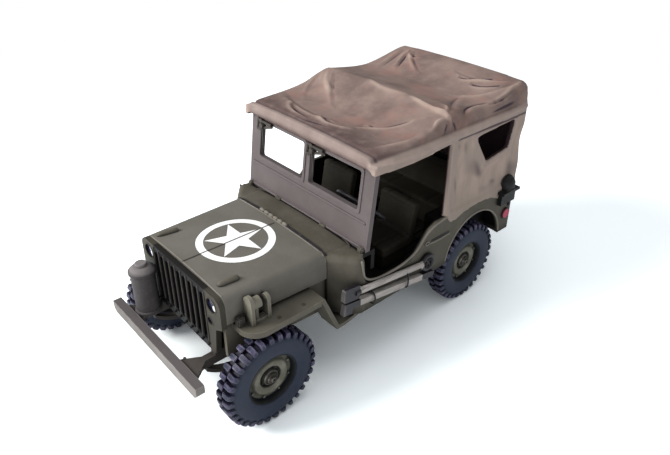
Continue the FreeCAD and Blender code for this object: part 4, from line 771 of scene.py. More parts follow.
# %% The disc's profile and nuts
DISC = [(0.95, 3.38), (1.1, 3.36), (1.12, 3.28), (0.95, 3.2), (0.5, 3.12), (0.32, 3.08), (0.26, 2.98),
        (0.26, 2.62), (0.34, 2.5), (0.6, 2.36), (0.68, 2.2), (0.66, 1.9), (0.56, 1.62), (0.5, 1.5),
        (0.2, 1.42), (0.02, 1.34), (0.0, 1.1), (0.42, 1.02), (0.62, 0.98), (0.68, 0.86), (0.6, 0.78),
        (0.62, 0.7), (0.92, 0.66), (0.98, 0.56), (0.9, 0.5), (0.92, 0.44), (1.2, 0.4), (1.25, 0.3),
        (1.22, 0.18), (1.1, 0.14), (1.1, 0.001)]
DISC_BACK = [(-0.2, 0.001), (-0.2, 1.3), (-0.15, 2.9), (-0.9, 3.1), (-1.1, 3.36), (-0.95, 3.38)]
DISC_STEPS = 72
# how many, radius of their circle, x of their foot, radius of one, and where the first one stands
NUTS = ((8, 2.8, 0.26, 0.17, 0.5), (5, 1.24, 0.02, 0.11, 0.0))
NUT_SIDES = 6
NUT_TOP = 0.75


def nut(centre, radius):
    """A small nut along X: a prism with a narrower top, its foot sunk in the disc."""
    x, y, z = centre
    length = radius * 1.6
    rings = [(x - 0.1, radius), (x + length * 0.6, radius), (x + length, radius * NUT_TOP)]
    turns = [2 * math.pi * k / NUT_SIDES for k in range(NUT_SIDES)]
    corners = [(px, y + r * math.cos(turn), z + r * math.sin(turn)) for px, r in rings for turn in turns]
    top = tuple(2 * NUT_SIDES + k for k in range(NUT_SIDES))
    return corners, woven(len(rings), NUT_SIDES) + [top]


def disc_mesh():
    disc = Shape().add(*turned(DISC + DISC_BACK, DISC_STEPS))
    for count, reach, foot, size, first in NUTS:
        for number in range(count):
            angle = 2 * math.pi * (number + first) / count
            disc.add(*nut((foot, reach * math.cos(angle), reach * math.sin(angle)), size))
    return shaded(mesh_of("disc", disc.corners, disc.faces))


WHEEL_DISC = disc_mesh()
print("a disc has", sum(row[0] for row in NUTS), "nuts and", len(WHEEL_DISC.polygons), "faces")

# %% Put tyres and discs on the car
def place_wheel(name, body, tyre_node, disc_node, turn):
    """A tyre and its disc in the middle of the CAD tyre, with the disc's face turned outward."""
    low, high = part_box(tyre_node)
    spot = Matrix.Translation((low + high) / 2) @ Matrix.Rotation(turn, 4, "Z")
    place_piece("rubber_" + name, TYRE, RUBBER, [tyre_node], body, spot)
    place_piece("wheel_" + name, WHEEL_DISC, WHEEL_PAINT, [disc_node], body, spot)
    return name, [round(v / MM, 2) for v in spot.translation]


for name in ("front_left", "front_right", "rear_left", "rear_right"):
    outward = 0 if name.endswith("left") else math.pi
    print(*place_wheel(name, "wheel_" + name, "tyre_" + name, "disc_" + name, outward))
print(*place_wheel("spare", CAR, "spare_tyre", "spare_disc", math.pi / 2))

# %% [markdown]
# ## Canvas top
#
# The top is moulded plastic made to look like heavy canvas stretched over three bows: it sags between
# them, creases run from the ends of the bows, and the hems are thick rolls. The CAD solid has the right
# outline and windows. Cloth simulation would give light folds, not these carved ones. So rolled hems
# and the flap over the tub's side are laid on a copy of the solid, a remesh melts all of it into small
# even faces, and then every point is moved by a few named folds, as a sculptor would push clay.

# %% Rolled hems, and the flap over the tub's side
EAVE = ((12.3, 15.0, 29.5), (13.0, 15.5, 29.3), (13.12, 18.0, 28.95), (13.15, 21.5, 28.9),
        (13.1, 25.0, 29.05), (12.98, 28.6, 29.35), (12.95, 30.5, 29.15), (12.95, 34.0, 29.2),
        (12.95, 38.8, 29.35), (12.95, 43.7, 29.5), (12.8, 45.6, 29.75))
FRONT_HEM = ((-12.9, 15.3, 29.35), (-9.0, 15.05, 29.6), (0.0, 15.05, 29.7), (9.0, 15.05, 29.6),
             (12.9, 15.3, 29.35))
CURTAIN_EDGE = ((12.93, 29.15, 28.9), (12.93, 29.2, 24.0), (12.97, 29.3, 19.0), (13.12, 29.7, 17.4),
                (13.16, 30.2, 16.6))
CURTAIN_FOOT = ((29.0, 17.9), (29.35, 17.2), (29.9, 16.45), (31.2, 16.3), (33.0, 16.9), (36.3, 17.2),
                (39.3, 16.9), (41.6, 15.9), (43.6, 15.0), (45.35, 14.6), (45.35, 17.9))
FLAP_INNER, FLAP_OUTER = 12.6, 13.22
WINDOW = [(12.97, s, z) for s, z in ((33.7, 28.15), (43.35, 28.7), (42.35, 23.85), (37.05, 23.1))]
HEM_ROLL, EDGE_ROLL, WINDOW_ROLL = 0.34, 0.27, 0.2
ROLL_SIDES = 10


def canvas_additions():
    """Rolls along the edges, and the flap, as closed solids that overlap the canvas."""
    extra = Shape()
    extra.tube(softened(EAVE, rounds=1), HEM_ROLL, ROLL_SIDES)
    extra.tube(softened(CURTAIN_EDGE, rounds=1), EDGE_ROLL)
    extra.rods_round(WINDOW, WINDOW_ROLL)
    count = len(CURTAIN_FOOT)
    flap = [(x, s, z) for x in (FLAP_INNER, FLAP_OUTER) for s, z in CURTAIN_FOOT]
    extra.add(flap, woven(2, count) + [tuple(range(count))[::-1], tuple(range(count, 2 * count))])
    extra.mirror()
    return extra.tube(softened(FRONT_HEM, rounds=1), HEM_ROLL, ROLL_SIDES)


CANVAS_ROLLS = canvas_additions()
print("rolls and flaps", len(CANVAS_ROLLS.faces), "faces")

# %% Melt a solid into small even faces
CANVAS_VOXEL = 0.2
MELT_FACTOR, MELT_ROUNDS = 0.5, 3


def melted_copy(name, node, voxel, extra=None):
    """A new mesh of small even faces over a CAD node and what is laid on it, smoothed a little."""
    joined = bmesh.new()
    joined.from_mesh(NODES[node].data)
    if extra:
        joined.from_mesh(extra.mesh(name + "_extra"))
    bmesh.ops.recalc_face_normals(joined, faces=joined.faces)
    mesh = bpy.data.meshes.new(name + "_source")
    joined.to_mesh(mesh)
    joined.free()
    source = new_object(name + "_source", mesh)
    remesh = source.modifiers.new("remesh", "REMESH")
    remesh.mode, remesh.voxel_size = "VOXEL", voxel * MM
    smooth = source.modifiers.new("smooth", "SMOOTH")
    smooth.factor, smooth.iterations = MELT_FACTOR, MELT_ROUNDS
    bpy.context.view_layer.update()
    made = bpy.data.meshes.new_from_object(source.evaluated_get(bpy.context.evaluated_depsgraph_get()))
    made.name = name
    bpy.data.objects.remove(source)
    return made


CANVAS_MESH = melted_copy("canvas", "canvas_top", CANVAS_VOXEL, CANVAS_ROLLS)
print("canvas has", len(CANVAS_MESH.polygons), "faces")

# %% [markdown]
# A fold has a soft ridge and a sharp groove beside it, because the cloth on one side is pulled over
# the other. Each fold is a short curve through three points of the roof, with a width, a groove depth
# and a ridge height; its ends fade out. The folds are listed by the bow's end that pulls them.

# %% The folds
# start, middle and end as (x, station), half width, groove depth, ridge height (its side: + front, - rear)
FOLDS = (
    # sweep across the front bay
    ((-7.0, 18.7), (-4.6, 17.5), (-1.7, 17.3), 0.55, 0.50, 0.30),
    ((-0.5, 18.7), (2.1, 18.2), (4.8, 19.6), 0.46, 0.72, 0.36),
    ((-5.4, 16.6), (-0.7, 16.4), (3.4, 17.8), 0.50, 0.40, 0.26),
    ((-9.8, 20.2), (-3.0, 18.6), (1.5, 19.6), 0.75, 0.16, 0.26),
    ((4.6, 20.6), (6.7, 22.0), (8.8, 24.9), 0.40, 0.50, 0.30),
    ((4.2, 21.0), (5.0, 21.6), (5.9, 21.5), 0.25, 0.30, 0.15),
    ((9.6, 16.6), (10.8, 20.0), (11.6, 26.0), 0.60, 0.14, 0.22),
    # the middle bow, and the folds that its right end pulls
    ((-11.6, 29.4), (2.4, 28.2), (12.0, 28.5), 1.00, 0.0, 0.13),
    ((5.6, 28.8), (9.0, 28.3), (12.6, 28.4), 0.34, 0.0, 0.36),
    ((10.2, 28.2), (11.5, 28.4), (12.9, 28.6), 0.42, 0.0, 0.30),
    ((-3.0, 29.4), (0.5, 28.3), (4.5, 28.9), 0.35, 0.0, 0.16),
    ((-10.6, 28.9), (-8.6, 26.6), (-6.2, 25.4), 0.55, 0.13, 0.22),
    ((-11.2, 28.6), (-10.4, 27.2), (-9.2, 26.0), 0.45, 0.08, 0.16),
    ((-11.3, 28.0), (-10.4, 25.0), (-8.6, 22.4), 0.60, 0.12, 0.18),
    ((-9.8, 28.8), (-6.6, 25.6), (-3.0, 22.8), 0.60, 0.16, 0.22),
    # the folds of its left end
    ((11.6, 28.9), (11.0, 30.0), (9.7, 31.0), 0.28, 0.10, 0.34),
    ((11.9, 28.0), (11.6, 26.8), (11.9, 25.6), 0.28, 0.10, 0.30),
    ((11.4, 28.0), (9.8, 26.2), (8.8, 23.6), 0.50, 0.0, 0.12),
    ((12.3, 31.6), (11.2, 34.6), (11.9, 38.8), 0.50, 0.34, -0.26),
    ((11.0, 30.4), (8.8, 33.6), (7.6, 36.6), 0.70, 0.18, -0.18),
    # the rear bow's right end
    ((-9.0, 44.6), (-8.2, 42.0), (-7.1, 39.4), 0.50, 0.32, 0.26),
    ((-8.4, 44.6), (-6.4, 42.2), (-3.2, 40.0), 0.50, 0.22, 0.26),
    ((-10.2, 44.2), (-9.8, 41.2), (-9.2, 38.0), 0.55, 0.20, 0.18),
    ((-8.9, 44.4), (-7.3, 43.0), (-5.9, 43.9), 0.35, 0.22, 0.18),
    # and its left end
    ((3.6, 41.6), (5.4, 41.8), (7.8, 43.3), 0.50, 0.70, 0.26),
    ((6.4, 40.9), (8.0, 40.9), (9.8, 42.4), 0.50, 0.60, 0.26),
    ((6.4, 37.0), (9.2, 39.4), (11.2, 44.2), 0.60, 0.14, 0.24),
    ((11.9, 37.4), (12.2, 40.0), (11.9, 43.6), 0.35, 0.30, 0.24),
    ((2.0, 42.6), (6.6, 42.4), (10.4, 44.9), 0.45, 0.18, 0.20),
    ((11.6, 45.2), (11.9, 43.0), (12.2, 40.6), 0.30, 0.0, 0.22),
)
# start and end as (station, height) on the curtains, half width, depth
CREASES = (
    ((37.6, 30.9), (42.6, 31.0), 0.30, 0.20), ((30.3, 28.4), (30.7, 26.8), 0.25, 0.07),
    ((31.6, 28.4), (32.3, 26.0), 0.50, 0.05), ((34.6, 22.4), (41.0, 20.6), 0.80, 0.05),
    ((38.6, 19.9), (40.9, 19.2), 0.40, 0.05), ((30.2, 24.2), (31.6, 18.8), 0.50, 0.07),
    ((28.2, 31.6), (27.4, 30.3), 0.22, 0.16), ((29.0, 31.4), (29.7, 30.2), 0.22, 0.16),
)
print(len(FOLDS), "folds,", len(CREASES), "creases")

# %% Heights along the folds
FOLD_POINTS = 14
GROOVE_NARROWER, RIDGE_ASIDE = 0.5, 0.9
FAR_AWAY = 1e9


def rising(values, low, high):
    """0 before low, 1 beyond high, and a straight line between them; high may be the lower one."""
    return np.clip((values - low) / (high - low), 0, 1)


def close_to(values, middle, width):
    """1 at the middle, and softly down to nothing about two widths away."""
    return np.exp(-((values - middle) / width) ** 2)


def curve_points(start, middle, end):
    """A smooth curve that passes through its middle point halfway."""
    start, middle, end = (np.array(point, float) for point in (start, middle, end))
    pull = 2 * middle - (start + end) / 2
    share = np.linspace(0, 1, FOLD_POINTS)[:, None]
    return (1 - share) ** 2 * start + 2 * share * (1 - share) * pull + share ** 2 * end


def offsets(first, second, path):
    """Signed distance to a path, and how much is left there of a fold that fades at its ends."""
    nearest = np.full(first.shape, FAR_AWAY)
    signed, along = np.zeros_like(first), np.zeros_like(first)
    for index, (one, other) in enumerate(zip(path, path[1:])):
        run = other - one
        length = np.hypot(*run)
        share = np.clip(((first - one[0]) * run[0] + (second - one[1]) * run[1]) / length ** 2, 0, 1)
        off_1, off_2 = first - one[0] - share * run[0], second - one[1] - share * run[1]
        distance = np.hypot(off_1, off_2)
        closer = distance < nearest
        turn = np.sign(run[0] * off_2 - run[1] * off_1)
        nearest = np.where(closer, distance, nearest)
        signed = np.where(closer, distance * turn, signed)
        along = np.where(closer, (index + share) / (len(path) - 1), along)
    return signed, np.sin(np.pi * np.clip(along * 0.9 + 0.05, 0, 1)) ** 0.6


def fold_heights(x, station):
    """Height of the roof's folds over each point."""
    height = np.zeros_like(x)
    for start, middle, end, width, groove, ridge in FOLDS:
        path = curve_points(start, middle, end)
        signed, fade = offsets(x, station, path)
        ahead = -1 if path[-1][0] > path[0][0] else 1
        beside = signed * ahead * (1 if ridge >= 0 else -1)
        aside = RIDGE_ASIDE * width if groove else 0.0
        height += fade * (abs(ridge) * close_to(beside, aside, width)
                          - groove * close_to(signed, 0, GROOVE_NARROWER * width))
    return height


def crease_depths(station, z):
    """Depth of the curtains' creases at each point."""
    depth = np.zeros_like(station)
    for start, end, width, size in CREASES:
        signed, fade = offsets(station, z, np.array((start, end), float))
        depth += fade * size * close_to(signed, 0, width)
    return depth


middles = np.array([fold[1] for fold in FOLDS])
print("heights at the middles of the folds", fold_heights(*middles.T).round(2).tolist())

# %% Points of a mesh, and the rolls along the edges
def points_of(mesh, what="co"):
    """The places or the normals of a mesh's points, one row each."""
    flat = np.empty(len(mesh.vertices) * 3)
    mesh.vertices.foreach_get(what, flat)
    return flat.reshape(-1, 3)


def set_points(mesh, spots):
    mesh.vertices.foreach_set("co", spots.ravel())
    mesh.update()
    return shaded(mesh, sharp=None)


def on_both_sides(*paths):
    """Paths on both sides of the car, measured from the model's origin."""
    return [[(sign * x, station - ORIGIN_STATION, z) for x, station, z in path]
            for sign in (1, -1) for path in paths]


def nearness(spots, paths, reach, fade=0.15):
    """1 close to the paths, down to 0 at their reach over the length of the fade."""
    nearest = np.full(len(spots), FAR_AWAY)
    for path in paths:
        for one, other in zip(path, path[1:]):
            one, other = np.array(one), np.array(other)
            run = other - one
            share = np.clip((spots - one) @ run / (run @ run), 0, 1)
            nearest = np.minimum(nearest, np.linalg.norm(spots - one - share[:, None] * run, axis=1))
    return np.clip((reach - nearest) / fade, 0, 1)


WINDOW_LOOP = WINDOW + WINDOW[:1]
print("rolls follow", len(on_both_sides(EAVE, CURTAIN_EDGE, WINDOW_LOOP, FRONT_HEM)), "paths")

# %% [markdown]
# The sculpting is a sum of simple rules. Each rule says how far a point moves, and where on the top
# it holds: the folds over the roof, the sag of the two bays, a step along the hem and the eave, waves
# in the curtains. The rules fade into each other, so that no seam shows between them.

# %% Rules of the roof
MIDDLE, HALF_SIZE = (0, 31, 24), (13, 16, 8)
# how deep each bay sags, and the stations of its bows
BAYS = ((0.75, 15.6, 28.4), (0.85, 29.0, 45.0))
SAG_POWER = 1.4
# depth, place and width of the steps behind the front hem and above the eave
HEM_STEP, HEM_STATION, HEM_WIDTH = 0.22, 15.85, 0.25
EAVE_STEP, EAVE_HEIGHT, EAVE_WIDTH = 0.18, 29.95, 0.24
EAVE_CLIMB, CLIMB_START, CLIMB_LENGTH = 0.03, 24, 9
# where a rule of the roof begins to hold, and where it holds in full: in height, in length, sideways
FOLDS_UP, SAG_UP, HEM_UP = (29.9, 30.8), (29.9, 31.3), (29.6, 30.1)
ROOF_FRONT, EAVE_REAR = (15.9, 16.7), (46, 44)
FOLDS_SIDE, SAG_SIDE, EAVE_SIDE = (13.0, 12.1), (13.3, 12.1), (11.8, 12.3)


def roof_moves(x, station, z):
    """How far each point of the roof moves: by folds along its normal, down by sag, and by two steps."""
    half = np.abs(x)
    front = rising(station, *ROOF_FRONT)
    folds = fold_heights(x, station) * rising(z, *FOLDS_UP) * rising(half, *FOLDS_SIDE) * front
    sag = sum(depth * np.sin(np.pi * rising(station, *bows)) ** SAG_POWER for depth, *bows in BAYS)
    sag = sag * rising(z, *SAG_UP) * front * rising(half, *SAG_SIDE)
    hem = HEM_STEP * close_to(station, HEM_STATION, HEM_WIDTH) * rising(z, *HEM_UP)
    level = z - EAVE_CLIMB * np.clip(station - CLIMB_START, 0, CLIMB_LENGTH)
    eave = EAVE_STEP * close_to(level, EAVE_HEIGHT, EAVE_WIDTH)
    eave = eave * rising(half, *EAVE_SIDE) * rising(station, *EAVE_REAR)
    return folds, sag, hem + eave


FRONT_BAY_TOP = (0.0, 22.0, 32.0)
folds, sag, steps = roof_moves(*(np.array([value]) for value in FRONT_BAY_TOP))
print("in the front bay: fold", folds.round(2), "sag", sag.round(2), "steps", steps.round(2))

# %% Sculpt the curtains, and store masks for the paint
# size of a wave, its turns along the car and in height, and where it starts
WAVES = ((0.13, 0.85, 0.55, 0.0), (0.11, 0.35, -0.9, 1.3), (0.05, 1.9, 0.25, 0.0))
REAR_WAVE, CURTAIN_SET_IN = (0.15, 0.7, 0.3), 0.16
CURTAIN_UP, CURTAIN_DOWN, CURTAIN_FRONT = (28.2, 26.2), (17.7, 19.2), (29.6, 31.1)
CURTAIN_SIDE, CURTAIN_REAR = (11.5, 12.3), (44.6, 45.2)
WINDOW_CALM, CALM_FADE, ROLL_REACH = 1.6, 1.2, 0.62
# the masks: pale front hem, pale band of the eave, a painted shadow as a dark line under it, and the sides as
# a whole
PALE_FRONT, PALE_UP, BAND_UP, BAND_DOWN = (15.8, 15.6), (29.0, 29.4), (29.9, 29.7), (28.7, 29.0)
# how pale the rolls and the band are, the painted shade in the steps, and how pale the waves' crests are
ROLL_PALE, BAND_PALE, STEP_SHADE, WAVE_PALE = 0.8, 0.6, 0.3, 0.35
EAVE_SHADOW_DARK, EAVE_SHADOW_HEIGHT, EAVE_SHADOW_WIDTH, EAVE_SHADOW_FRONT = 0.13, 28.72, 0.22, (29.8, 30.3)
SIDE_UP = (30.1, 29.6)


def sculpt_canvas(mesh):
    """Moves the roof and the curtains by their rules, and stores masks of them for the paint."""
    spots, normals = points_of(mesh) / MM, points_of(mesh, "normal")
    x, station, z = spots[:, 0].copy(), spots[:, 1] + ORIGIN_STATION, spots[:, 2].copy()
    away = (np.stack((x, station, z), axis=1) - MIDDLE) / HALF_SIZE
    outside = np.where((normals * away).sum(axis=1) > 0, 1.0, -1.0)
    folds, sag, steps = roof_moves(x, station, z)
    spots += normals * (outside * (folds - steps))[:, None]
    spots[:, 2] -= sag
    curtain = rising(z, *CURTAIN_UP) * rising(z, *CURTAIN_DOWN) * rising(station, *CURTAIN_FRONT)
    curtain *= 1 - nearness(spots, on_both_sides(WINDOW_LOOP), WINDOW_CALM, CALM_FADE)
    side = rising(np.abs(x), *CURTAIN_SIDE)
    creases = crease_depths(station, z) * side
    wave = sum(size * np.sin(station * along + z * up + begin) for size, along, up, begin in WAVES)
    size, across, up = REAR_WAVE
    rear_wave = size + size * np.sin(x * across + z * up)
    spots[:, 0] -= np.sign(x) * (curtain * side * (CURTAIN_SET_IN + wave) + creases)
    spots[:, 1] -= rising(station, *CURTAIN_REAR) * (1 - side) * curtain * rear_wave
    hem = ROLL_PALE * nearness(spots, on_both_sides(EAVE, CURTAIN_EDGE, WINDOW_LOOP, FRONT_HEM), ROLL_REACH)
    hem = np.maximum(hem, rising(station, *PALE_FRONT) * rising(z, *PALE_UP))
    hem = np.maximum(hem, BAND_PALE * rising(z, *BAND_UP) * rising(z, *BAND_DOWN) * side)
    eave_shadow = EAVE_SHADOW_DARK * close_to(z, EAVE_SHADOW_HEIGHT, EAVE_SHADOW_WIDTH) * side * rising(station, *EAVE_SHADOW_FRONT)
    masks = {"fold": folds - eave_shadow - STEP_SHADE * steps - creases + WAVE_PALE * curtain * wave,
             "hem": hem * (outside > 0),
             "inside": (outside < 0) * 1.0,
             "side": side * rising(z, *SIDE_UP)}
    for name, numbers in masks.items():
        mesh.attributes.new(name, "FLOAT", "POINT").data.foreach_set("value", numbers)
    set_points(mesh, spots * MM)
    return {name: (round(float(numbers.min()), 2), round(float(numbers.max()), 2))
            for name, numbers in masks.items()}


print("masks", sculpt_canvas(CANVAS_MESH))

# %% [markdown]
# The paint of the canvas tells as much as its shape: a warm brown coat on the roof, a greyer one on
# the curtains, a reddish patch here and there, a dark wash and painted shade in the creases and steps,
# a painted shadow under the eave, and a pale drybrush on ridges and hems. The inside is painted in
# shade. The sculpting stored the height of each fold, so the paint can follow the folds.

# %% Canvas paint
ROOF_BROWN, ROOF_PALE, ROOF_RED = (0.165, 0.118, 0.106), (0.262, 0.190, 0.166), (0.290, 0.168, 0.140)
CURTAIN_DUN, CURTAIN_PALE, CURTAIN_LOW = (0.365, 0.300, 0.258), (0.480, 0.370, 0.318), (0.240, 0.214, 0.180)
FRONT_DARK, FRONT_BAY = (0.088, 0.058, 0.056), (-4.2, 1.5)
CURTAIN_HEIGHTS = (15.6, 23.5)
CANVAS_CLOUD, HEM_PALE, RIDGE_PALE = (0.340, 0.270, 0.240), (0.345, 0.275, 0.250), (0.440, 0.335, 0.285)
CREASE_DARK, CANVAS_SHADE = (0.050, 0.035, 0.048), (0.030, 0.022, 0.022)
CANVAS_EDGE, CANVAS_INSIDE_SHADE = (0.52, 0.44, 0.39), (0.024, 0.013, 0.017)


def canvas_paint():
    """Brown and dun cloth, painted by the masks that the sculpting stored."""
    finish = Finish("canvas_paint", Specular_IOR_Level=MATT)
    fold, hem, within, low = (finish.node("ShaderNodeAttribute", dict(attribute_name=name), output="Fac")
                              for name in ("fold", "hem", "inside", "side"))
    big = finish.noise(grain=6.5, detail=4, shift=2.0)
    red = finish.noise(grain=5.0, shift=9.0).above(0.48, 0.66)
    middle = finish.noise(grain=1.6, detail=5, roughness=0.65)
    streak = finish.noise(grain=2.2, detail=4, stretch=(1, 1, 0.3), shift=5.0)
    colour = finish.mix(big.above(0.35, 0.65), ROOF_BROWN, ROOF_PALE)
    colour = finish.mix(red * 0.55, colour, ROOF_RED)
    colour = finish.mix((1 - finish.along("Y").above(*FRONT_BAY)) * 0.85, colour, FRONT_DARK)
    colour = finish.mix(low * 0.9, colour, finish.mix(streak.above(0.35, 0.65), CURTAIN_DUN, CURTAIN_PALE))
    colour = finish.mix((1 - finish.along("Z").above(*CURTAIN_HEIGHTS)) * 0.7, colour, CURTAIN_LOW)
    colour = finish.mix(middle.above(0.4, 0.8) * 0.30, colour, CANVAS_CLOUD)
    colour = finish.mix(hem * (0.35 + streak * 0.6), colour, HEM_PALE)
    colour = finish.mix(fold.above(0.05, 0.32) * (0.15 + streak * 0.9), colour, RIDGE_PALE)
    # a dark wash and painted shade in the grooves, creases, steps and under the eave
    colour = finish.mix((0 - fold).above(0.015, 0.14) * 0.92, colour, CREASE_DARK)
    colour = finish.mix((1 - finish.hollows(reach=2.0)).above(0.30, 0.85) * 0.75, colour, CANVAS_SHADE)
    colour = finish.mix(finish.edges(width=0.3) * (0.25 + middle * 0.4), colour, CANVAS_EDGE)
    # painted shade on the inside of the canvas
    colour = finish.mix(within * 0.96, colour, CANVAS_INSIDE_SHADE)
    return finish.surface(colour=colour, roughness=0.68 + middle * 0.15,
                          bump=finish.noise(grain=0.16, detail=4) * 0.6 + middle * 0.8, height=0.035)


canvas = place_piece("canvas_roof", CANVAS_MESH, canvas_paint(), ["canvas_top"])
print("canvas painted with", len(canvas.active_material.node_tree.nodes), "nodes")

# %% [markdown]
# ## Seats
#
# The seats are hard mouldings of padded cushions. Pillows could be modelled from scratch, but the
# solids have the right sizes already. So a copy of each is melted and smoothed, which rounds its
# corners, and the top of its cushion is raised in a low swell with seams across.

# %% Rounded seats
SEAT_VOXEL = 0.18
SWELL, SEAM_DEPTH, SEAM_PLACE, SEAM_WIDTH = 0.22, 0.16, 0.5, 0.04
TOP_FACING = 0.3


def padded(node):
    """A melted copy of a seat, its upward faces raised between the seams."""
    mesh = melted_copy("padded_" + node, node, SEAT_VOXEL)
    low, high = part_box(node)
    spots, normals = points_of(mesh), points_of(mesh, "normal")
    across = (spots[:, 0] - (low.x + high.x) / 2) / ((high.x - low.x) / 2)
    seams = close_to(np.abs(across), SEAM_PLACE, SEAM_WIDTH)
    swell = np.clip(1 - across ** 4, 0, 1) * SWELL - seams * SEAM_DEPTH
    spots += normals * (swell * MM)[:, None] * (normals[:, 2:] > TOP_FACING)
    return place_piece("padded_" + node, set_points(mesh, spots), SEAT_SHADE_PAINT, [node])


for node in ("driver_seat", "passenger_seat", "rear_seat"):
    print(node, len(padded(node).data.polygons), "faces")

# %% [markdown]
# ## The bonnet's star
#
# The white star in its ring is a waterslide decal: a very thin film that follows the bonnet. The
# groove of the centre hinge cuts through it. A texture would need the panel unwrapped first. Here a
# flat drawing is dropped on the bonnet by casting each of its points straight down, so the film lies
# on the crown of the panel.

# %% Drop a flat drawing on the bonnet
FILM = 0.03
HIGH_ABOVE = 60


def surface_of(name):
    """A search tree over a CAD node, to find heights on it."""
    joined = bmesh.new()
    joined.from_mesh(NODES[name].data)
    tree = BVHTree.FromBMesh(joined)
    joined.free()
    return tree


BONNET_SURFACE = surface_of("bonnet")


def drop(x, station, rise):
    """The point of the bonnet under a place of the drawing, raised a little."""
    above = Vector((x, station - ORIGIN_STATION, HIGH_ABOVE)) * MM
    hit = BONNET_SURFACE.ray_cast(above, Vector((0, 0, -1)))[0]
    return (x, station, hit.z / MM + rise)


def film(name, rings, finish, rise=FILM, closed=True):
    """A thin film between rows of points, dropped on the bonnet."""
    corners = [drop(x, station, rise) for ring in rings for x, station in ring]
    faces = woven(len(rings), len(rings[0]), round_ring=closed)
    return Shape().add(corners, faces).place(name, finish, "olive_paint")


print("the bonnet's top is at", round(drop(0, 4, 0)[2], 2), "mm")

# %% The star, its ring and the groove
STAR_CENTRE = (0.1, 3.95)
RING_OUTER, RING_INNER, STAR_POINT, STAR_WAIST = 4.9, 3.97, 3.88, 1.5
RING_STEPS, EDGE_STEPS = 96, 8
GROOVE_HALF, GROOVE_RISE = 0.085, 0.05
GROOVE_FRONT, GROOVE_LENGTH, GROOVE_STEPS = -3.35, 13.2, 40
DECAL_WHITE, DECAL_WORN = (0.93, 0.94, 0.945), (0.74, 0.73, 0.71)


def decal_paint():
    """White film, a little yellowed and scuffed."""
    finish = Finish("decal_white", Specular_IOR_Level=MATT)
    scuff = finish.noise(grain=0.9, detail=5).above(0.5, 0.85)
    colour = finish.mix(scuff * 0.35, DECAL_WHITE, DECAL_WORN)
    return finish.surface(colour=colour, roughness=0.5 + scuff * 0.2,
                          bump=finish.noise(grain=0.3), height=0.008)


def circle(radius):
    turns = [2 * math.pi * k / RING_STEPS for k in range(RING_STEPS)]
    return [(STAR_CENTRE[0] + radius * math.sin(turn), STAR_CENTRE[1] + radius * math.cos(turn))
            for turn in turns]


def star(scale):
    """A five-pointed star, its first point to the rear, with points along each edge."""
    tips = [(r * scale * math.sin(math.pi * k / 5), r * scale * math.cos(math.pi * k / 5))
            for k, r in enumerate((STAR_POINT, STAR_WAIST) * 5)]
    ring = []
    for (ax, ay), (bx, by) in zip(tips, tips[1:] + tips[:1]):
        ring += [(STAR_CENTRE[0] + ax + (bx - ax) * k / EDGE_STEPS,
                  STAR_CENTRE[1] + ay + (by - ay) * k / EDGE_STEPS) for k in range(EDGE_STEPS)]
    return ring


DECAL = decal_paint()
film("decal_ring", [circle(RING_OUTER), circle((RING_OUTER + RING_INNER) / 2), circle(RING_INNER)], DECAL)
film("decal_star", [star(share) for share in (1.0, 0.75, 0.5, 0.25, 0.003)], DECAL)
groove = [[(x, GROOVE_FRONT + GROOVE_LENGTH * k / GROOVE_STEPS) for k in range(GROOVE_STEPS + 1)]
          for x in (-GROOVE_HALF, GROOVE_HALF)]
film("bonnet_groove", groove, DARK_OLIVE, rise=GROOVE_RISE, closed=False)
print("star", STAR_CENTRE, "ring", RING_OUTER)

# %% [markdown]
# ## Bonnet and cowl fittings
#
# Small raised parts catch the drybrush: two rubber pads where the folded screen would rest, the
# knuckles of the bonnet's hinge, and the bonnet's front and rear lips. Behind the rear lip a dark bead
# draws the joint with the cowl, and another the groove pressed in the cowl. They could be cut into the
# panels with booleans. Beads dropped on the surface keep the crown of the bonnet and cost far less.

# %% On the bonnet and the cowl
BONNET_PADS = (((6.55, -2.3), (6.7, -0.4)), ((-7.2, -2.4), (-6.85, -0.5)))
PAD_RADIUS, PAD_RISE = 0.4, 0.12
BONNET_END, BONNET_FRONT = 10.2, -3.28
KNUCKLES, FIRST_KNUCKLE, KNUCKLE_STEP, KNUCKLE_LENGTH, KNUCKLE_RADIUS = 6, -3.85, 0.98, 0.46, 0.26
KNUCKLE_STATION, KNUCKLE_HEIGHT = 10.55, 18.4
# half width and number of points of the lines along the bonnet's two edges
REAR_LINE, FRONT_LINE = (9.3, 19), (8.2, 17)
REAR_LIP, REAR_LIP_STATION, FRONT_LIP, LIP_SUNK, FRONT_SUNK = 0.1, 10.3, 0.08, -0.02, -0.03
JOINT, JOINT_STATION = 0.17, 10.6


def bonnet_line(station, rise, half, count, show_at=None):
    """Points across the car over the bonnet's crown; they may be shown at another station."""
    crown = [drop(x, station, rise) for x in np.linspace(-half, half, count).tolist()]
    return [(x, station if show_at is None else show_at, z) for x, _, z in crown]


pads = Shape()
for ends in BONNET_PADS:
    pads.tube([drop(x, station, PAD_RISE) for x, station in ends], PAD_RADIUS, sides=12)
pads.place("bonnet_pads", OLIVE, "olive_paint")

